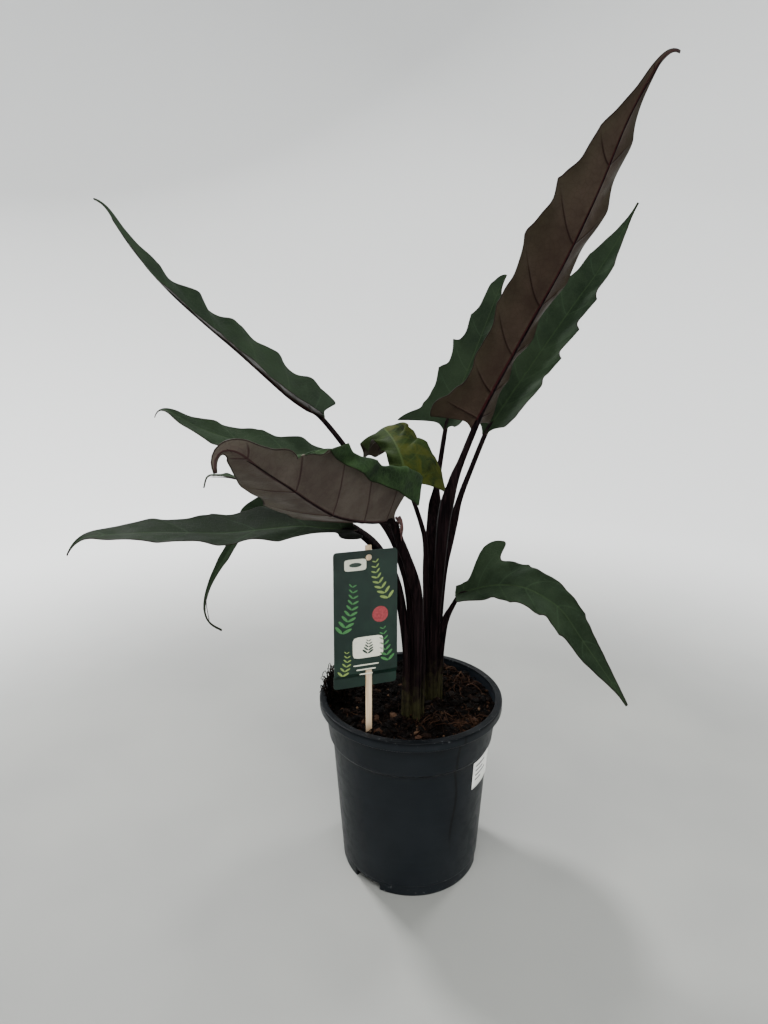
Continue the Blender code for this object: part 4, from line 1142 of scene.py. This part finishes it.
def inkFinish(name, colour, lighter):
    finish, _, grain = startFinish(name, (90, 500, 1600))
    dress(finish, layer(colour, grain["Specks"], 0.5, lighter),
          ramp(grain["Patches"], 0.0, 1.0, 0.40, 0.52))
    return finish


def printPatch(bm, across, height, halfWide, halfHigh, sides=16, turn=0.0, square=False):
    # A flat disc, drop or panel of ink.
    made = bmesh.ops.create_circle(bm, cap_ends=True, segments=32 if square else sides, radius=1.0)
    for point in made["verts"]:
        x, y = point.co.x, point.co.y
        if square:
            # A rounded panel: the circle pushed out towards its square.
            power = tag["panelPower"]
            grow = (abs(x) ** power + abs(y) ** power) ** (-1 / power)
            x, y = x * grow, y * grow
        x, y = x * halfWide, y * halfHigh
        point.co = (x * cos(turn) - y * sin(turn) + across,
                    x * sin(turn) + y * cos(turn) + height, 0.0)


def leafSpray(bm, start, end, sag, count, size):
    stem = atan2(end[1] - start[1], end[0] - start[0])
    for index in range(count):
        share = index / (count - 1)
        across = start[0] + (end[0] - start[0]) * share + sag * sin(pi * share)
        height = start[1] + (end[1] - start[1]) * share
        for side in (-1, 1):
            lean = stem + side * tag["leafletLean"]
            long = size * (1 - tag["leafletShrink"] * share)
            printPatch(bm, across + cos(lean) * long, height + sin(lean) * long,
                       long, long * tag["leafletWidth"], 10, lean)


def finishPrint(name, bm, finish, lift):
    # Gives the flat print its depth and lays it on the card, a hair proud.
    raised = bmesh.ops.extrude_face_region(bm, geom=bm.faces[:])
    for point in raised["geom"]:
        if isinstance(point, bmesh.types.BMVert):
            point.co.z += tag["printDepth"]
    for point in bm.verts:
        point.co = tagSpot(point.co.x, point.co.y, point.co.z + tag["printGap"] + lift)
    bmesh.ops.recalc_face_normals(bm, faces=bm.faces)
    makePiece(name, bm, (finish,), flat=True)


def makeTag():
    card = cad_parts["tag_card"]
    card.data.materials.clear()
    card.data.materials.append(sheetFinish("tagCardGreen", (40, 300, 1500), (12, 30, 24),
                                           (16, 37, 29), (0.38, 0.50), (0.10, 0.0002), 0.3))
    for name, values in tag["prints"].items():
        bm = bmesh.new()
        for spray in values.get("sprays", ()):
            leafSpray(bm, *spray)
        for panel in values.get("panels", ()):
            printPatch(bm, *panel, square=True)
        for disc in values.get("discs", ()):
            printPatch(bm, *disc)
        finishPrint("print" + name, bm, inkFinish("ink" + name, *values["ink"]),
                    values.get("lift", 0.0))


def woodFinish():
    finish, tree = startFinish("stickWood")
    fibres = cloud(objectPlace(tree, (900.0, 900.0, 26.0)), 1.0, 4.0, 0.6)
    wide = cloud(objectPlace(tree, (260.0, 260.0, 9.0)), 1.0, 2.0)
    colour = mix(ramp(fibres, 0.35, 0.7), (214, 192, 160), (186, 158, 122))
    colour = layer(colour, ramp(wide, 0.5, 0.7), 0.35, (162, 132, 98))
    damp = ramp(axes(objectPlace(tree))["Z"], 0.182, 0.168)
    colour = layer(colour, damp, 0.6, (92, 66, 46))
    dress(finish, colour, ramp(fibres, 0.3, 0.7, 0.62, 0.8), (fibres, 0.35, 0.0003))
    return finish


def makeStick():
    low, high = tag["stickBottom"], tag["stickTop"]
    bm = bmesh.new()
    bmesh.ops.create_cube(bm, size=1.0)
    size = (tag["stickWidth"], tag["stickThickness"], high - low)
    bmesh.ops.scale(bm, vec=size, verts=bm.verts)
    bmesh.ops.bevel(bm, geom=bm.edges[:], offset=tag["stickRound"], segments=2, profile=0.5,
                    affect="EDGES", material=-1)
    middle = tag["place"] + tagAlong * tag["stickSide"] + Vector((0, 0, (low + high) / 2))
    turn = Matrix.Rotation(tag["yaw"], 4, "Z")
    bmesh.ops.transform(bm, matrix=Matrix.Translation(middle) @ turn, verts=bm.verts)
    makePiece("stick", bm, (woodFinish(),), ("tag_stick",), flat=True)


makeTag()
makeStick()
print("tag made")


# Paper label on the pot.
label = {"top": 0.1315, "height": 0.029, "middle": -28, "span": 30, "gap": 0.0006,
         "thickness": 0.0004, "cornerLift": 0.0008, "markGap": 0.00006, "markDepth": 0.00008,
         "lineStart": 0.10, "lineEnds": (0.52, 0.44, 0.60, 0.36), "firstLine": 0.80,
         "lineStep": 0.17, "lineHeight": 0.05, "looseFrom": 1.6, "columns": 36, "rows": 12}


def labelSpot(u, v, proud):
    angle = radians(label["middle"] + (u - 0.5) * label["span"])
    height = label["top"] - label["height"] * (1 - v)
    return aroundAxis(wallRadius(height) + label["gap"] + proud, angle, height)


def makeLabel():
    def placeOf(u, v):
        # One corner has come a little loose.
        loose = easeBetween(u + v, label["looseFrom"], 2.0)
        return labelSpot(u, v, label["cornerLift"] * loose), ()

    paper = sheetFinish("labelPaper", (80, 400, 1800), (226, 226, 220), (236, 236, 232),
                        (0.5, 0.62), (0.15, 0.0002))
    bm = gridSheet(label["columns"], label["rows"], placeOf)
    piece = makePiece("label", bm, (paper,), ("pot_label",))
    thicken(piece, label["thickness"], 1.0)
    marks = bmesh.new()
    left = label["lineStart"]
    for row, right in enumerate(label["lineEnds"]):
        made = bmesh.ops.create_grid(marks, x_segments=10, y_segments=1, size=0.5)
        for point in made["verts"]:
            u = left + (right - left) * (point.co.x + 0.5)
            v = label["firstLine"] - label["lineStep"] * row
            v += label["lineHeight"] * (point.co.y + 0.5)
            point.co = labelSpot(u, v, label["thickness"] + label["markGap"])
    ink = inkFinish("inkGrey", (60, 62, 64), (84, 86, 88))
    thicken(makePiece("labelMarks", marks, (ink,)), label["markDepth"], 0.0)


makeLabel()
print("label made")


# Studio: a pale bowl of floor and backdrop, soft lights.
studio = {
    "floorReach": 1.5, "wallReach": 2.5, "wallTop": 2.3, "curveSteps": 12, "steps": 64,
    "worldColour": (0.93, 0.96, 1.0, 1.0), "worldStrength": 0.64, "aim": Vector((0.0, -0.05, 0.3)),
    # Lamps: place, size and power.
    "lamps": {"backLeft": ((-1.1, 1.2, 2.0), 0.4, 105.0), "backRight": ((1.2, 1.1, 2.0), 0.5, 38.0),
              "frontTop": ((0.0, -1.2, 2.3), 1.6, 82.0)},
}


def backdropFinish():
    finish, tree = startFinish("paleBackdrop")
    clouds = cloud(objectPlace(tree), 3.0, 3.0)
    # The floor is darker and the wall far out lighter: painted shade on the floor and painted light
    # on the wall, blended by distance from the middle.
    floor = mix(ramp(clouds, 0.35, 0.65), (112, 113, 110), (119, 120, 116))
    parts = axes(objectPlace(tree))
    squares = [times(parts[key], parts[key]) for key in ("X", "Y")]
    reach = calculate("SQRT", plus(*squares))
    dress(finish, mix(ramp(reach, 0.45, 1.5), floor, (203, 204, 203)), 0.7)
    return finish


def makeStudio():
    near, far, steps = studio["floorReach"], studio["wallReach"], studio["curveSteps"]
    outline = [(0.0, 0.0), (near, 0.0)]
    for step in range(1, steps + 1):
        turn = pi / 2 * step / steps
        outline.append((near + (far - near) * sin(turn), (far - near) * (1 - cos(turn))))
    outline.append((far, studio["wallTop"]))
    backdrop = showMesh("backdrop", spinOutline(outline, studio["steps"]), (backdropFinish(),))
    world = bpy.data.worlds.new("paleRoom")
    world.use_nodes = True
    feed(world.node_tree, world.node_tree.nodes["Background"],
         {"Color": studio["worldColour"], "Strength": studio["worldStrength"]})
    bpy.context.scene.world = world
    for name, (place, size, power) in studio["lamps"].items():
        light = bpy.data.lights.new(name, "AREA")
        light.shape = "DISK"
        light.size = size
        light.energy = power
        lamp = bpy.data.objects.new(name, light)
        lamp.location = place
        aim = studio["aim"] - Vector(place)
        lamp.rotation_euler = aim.to_track_quat("-Z", "Y").to_euler()
        lamp.visible_camera = False
        bpy.context.scene.collection.objects.link(lamp)


makeStudio()
print("studio made")
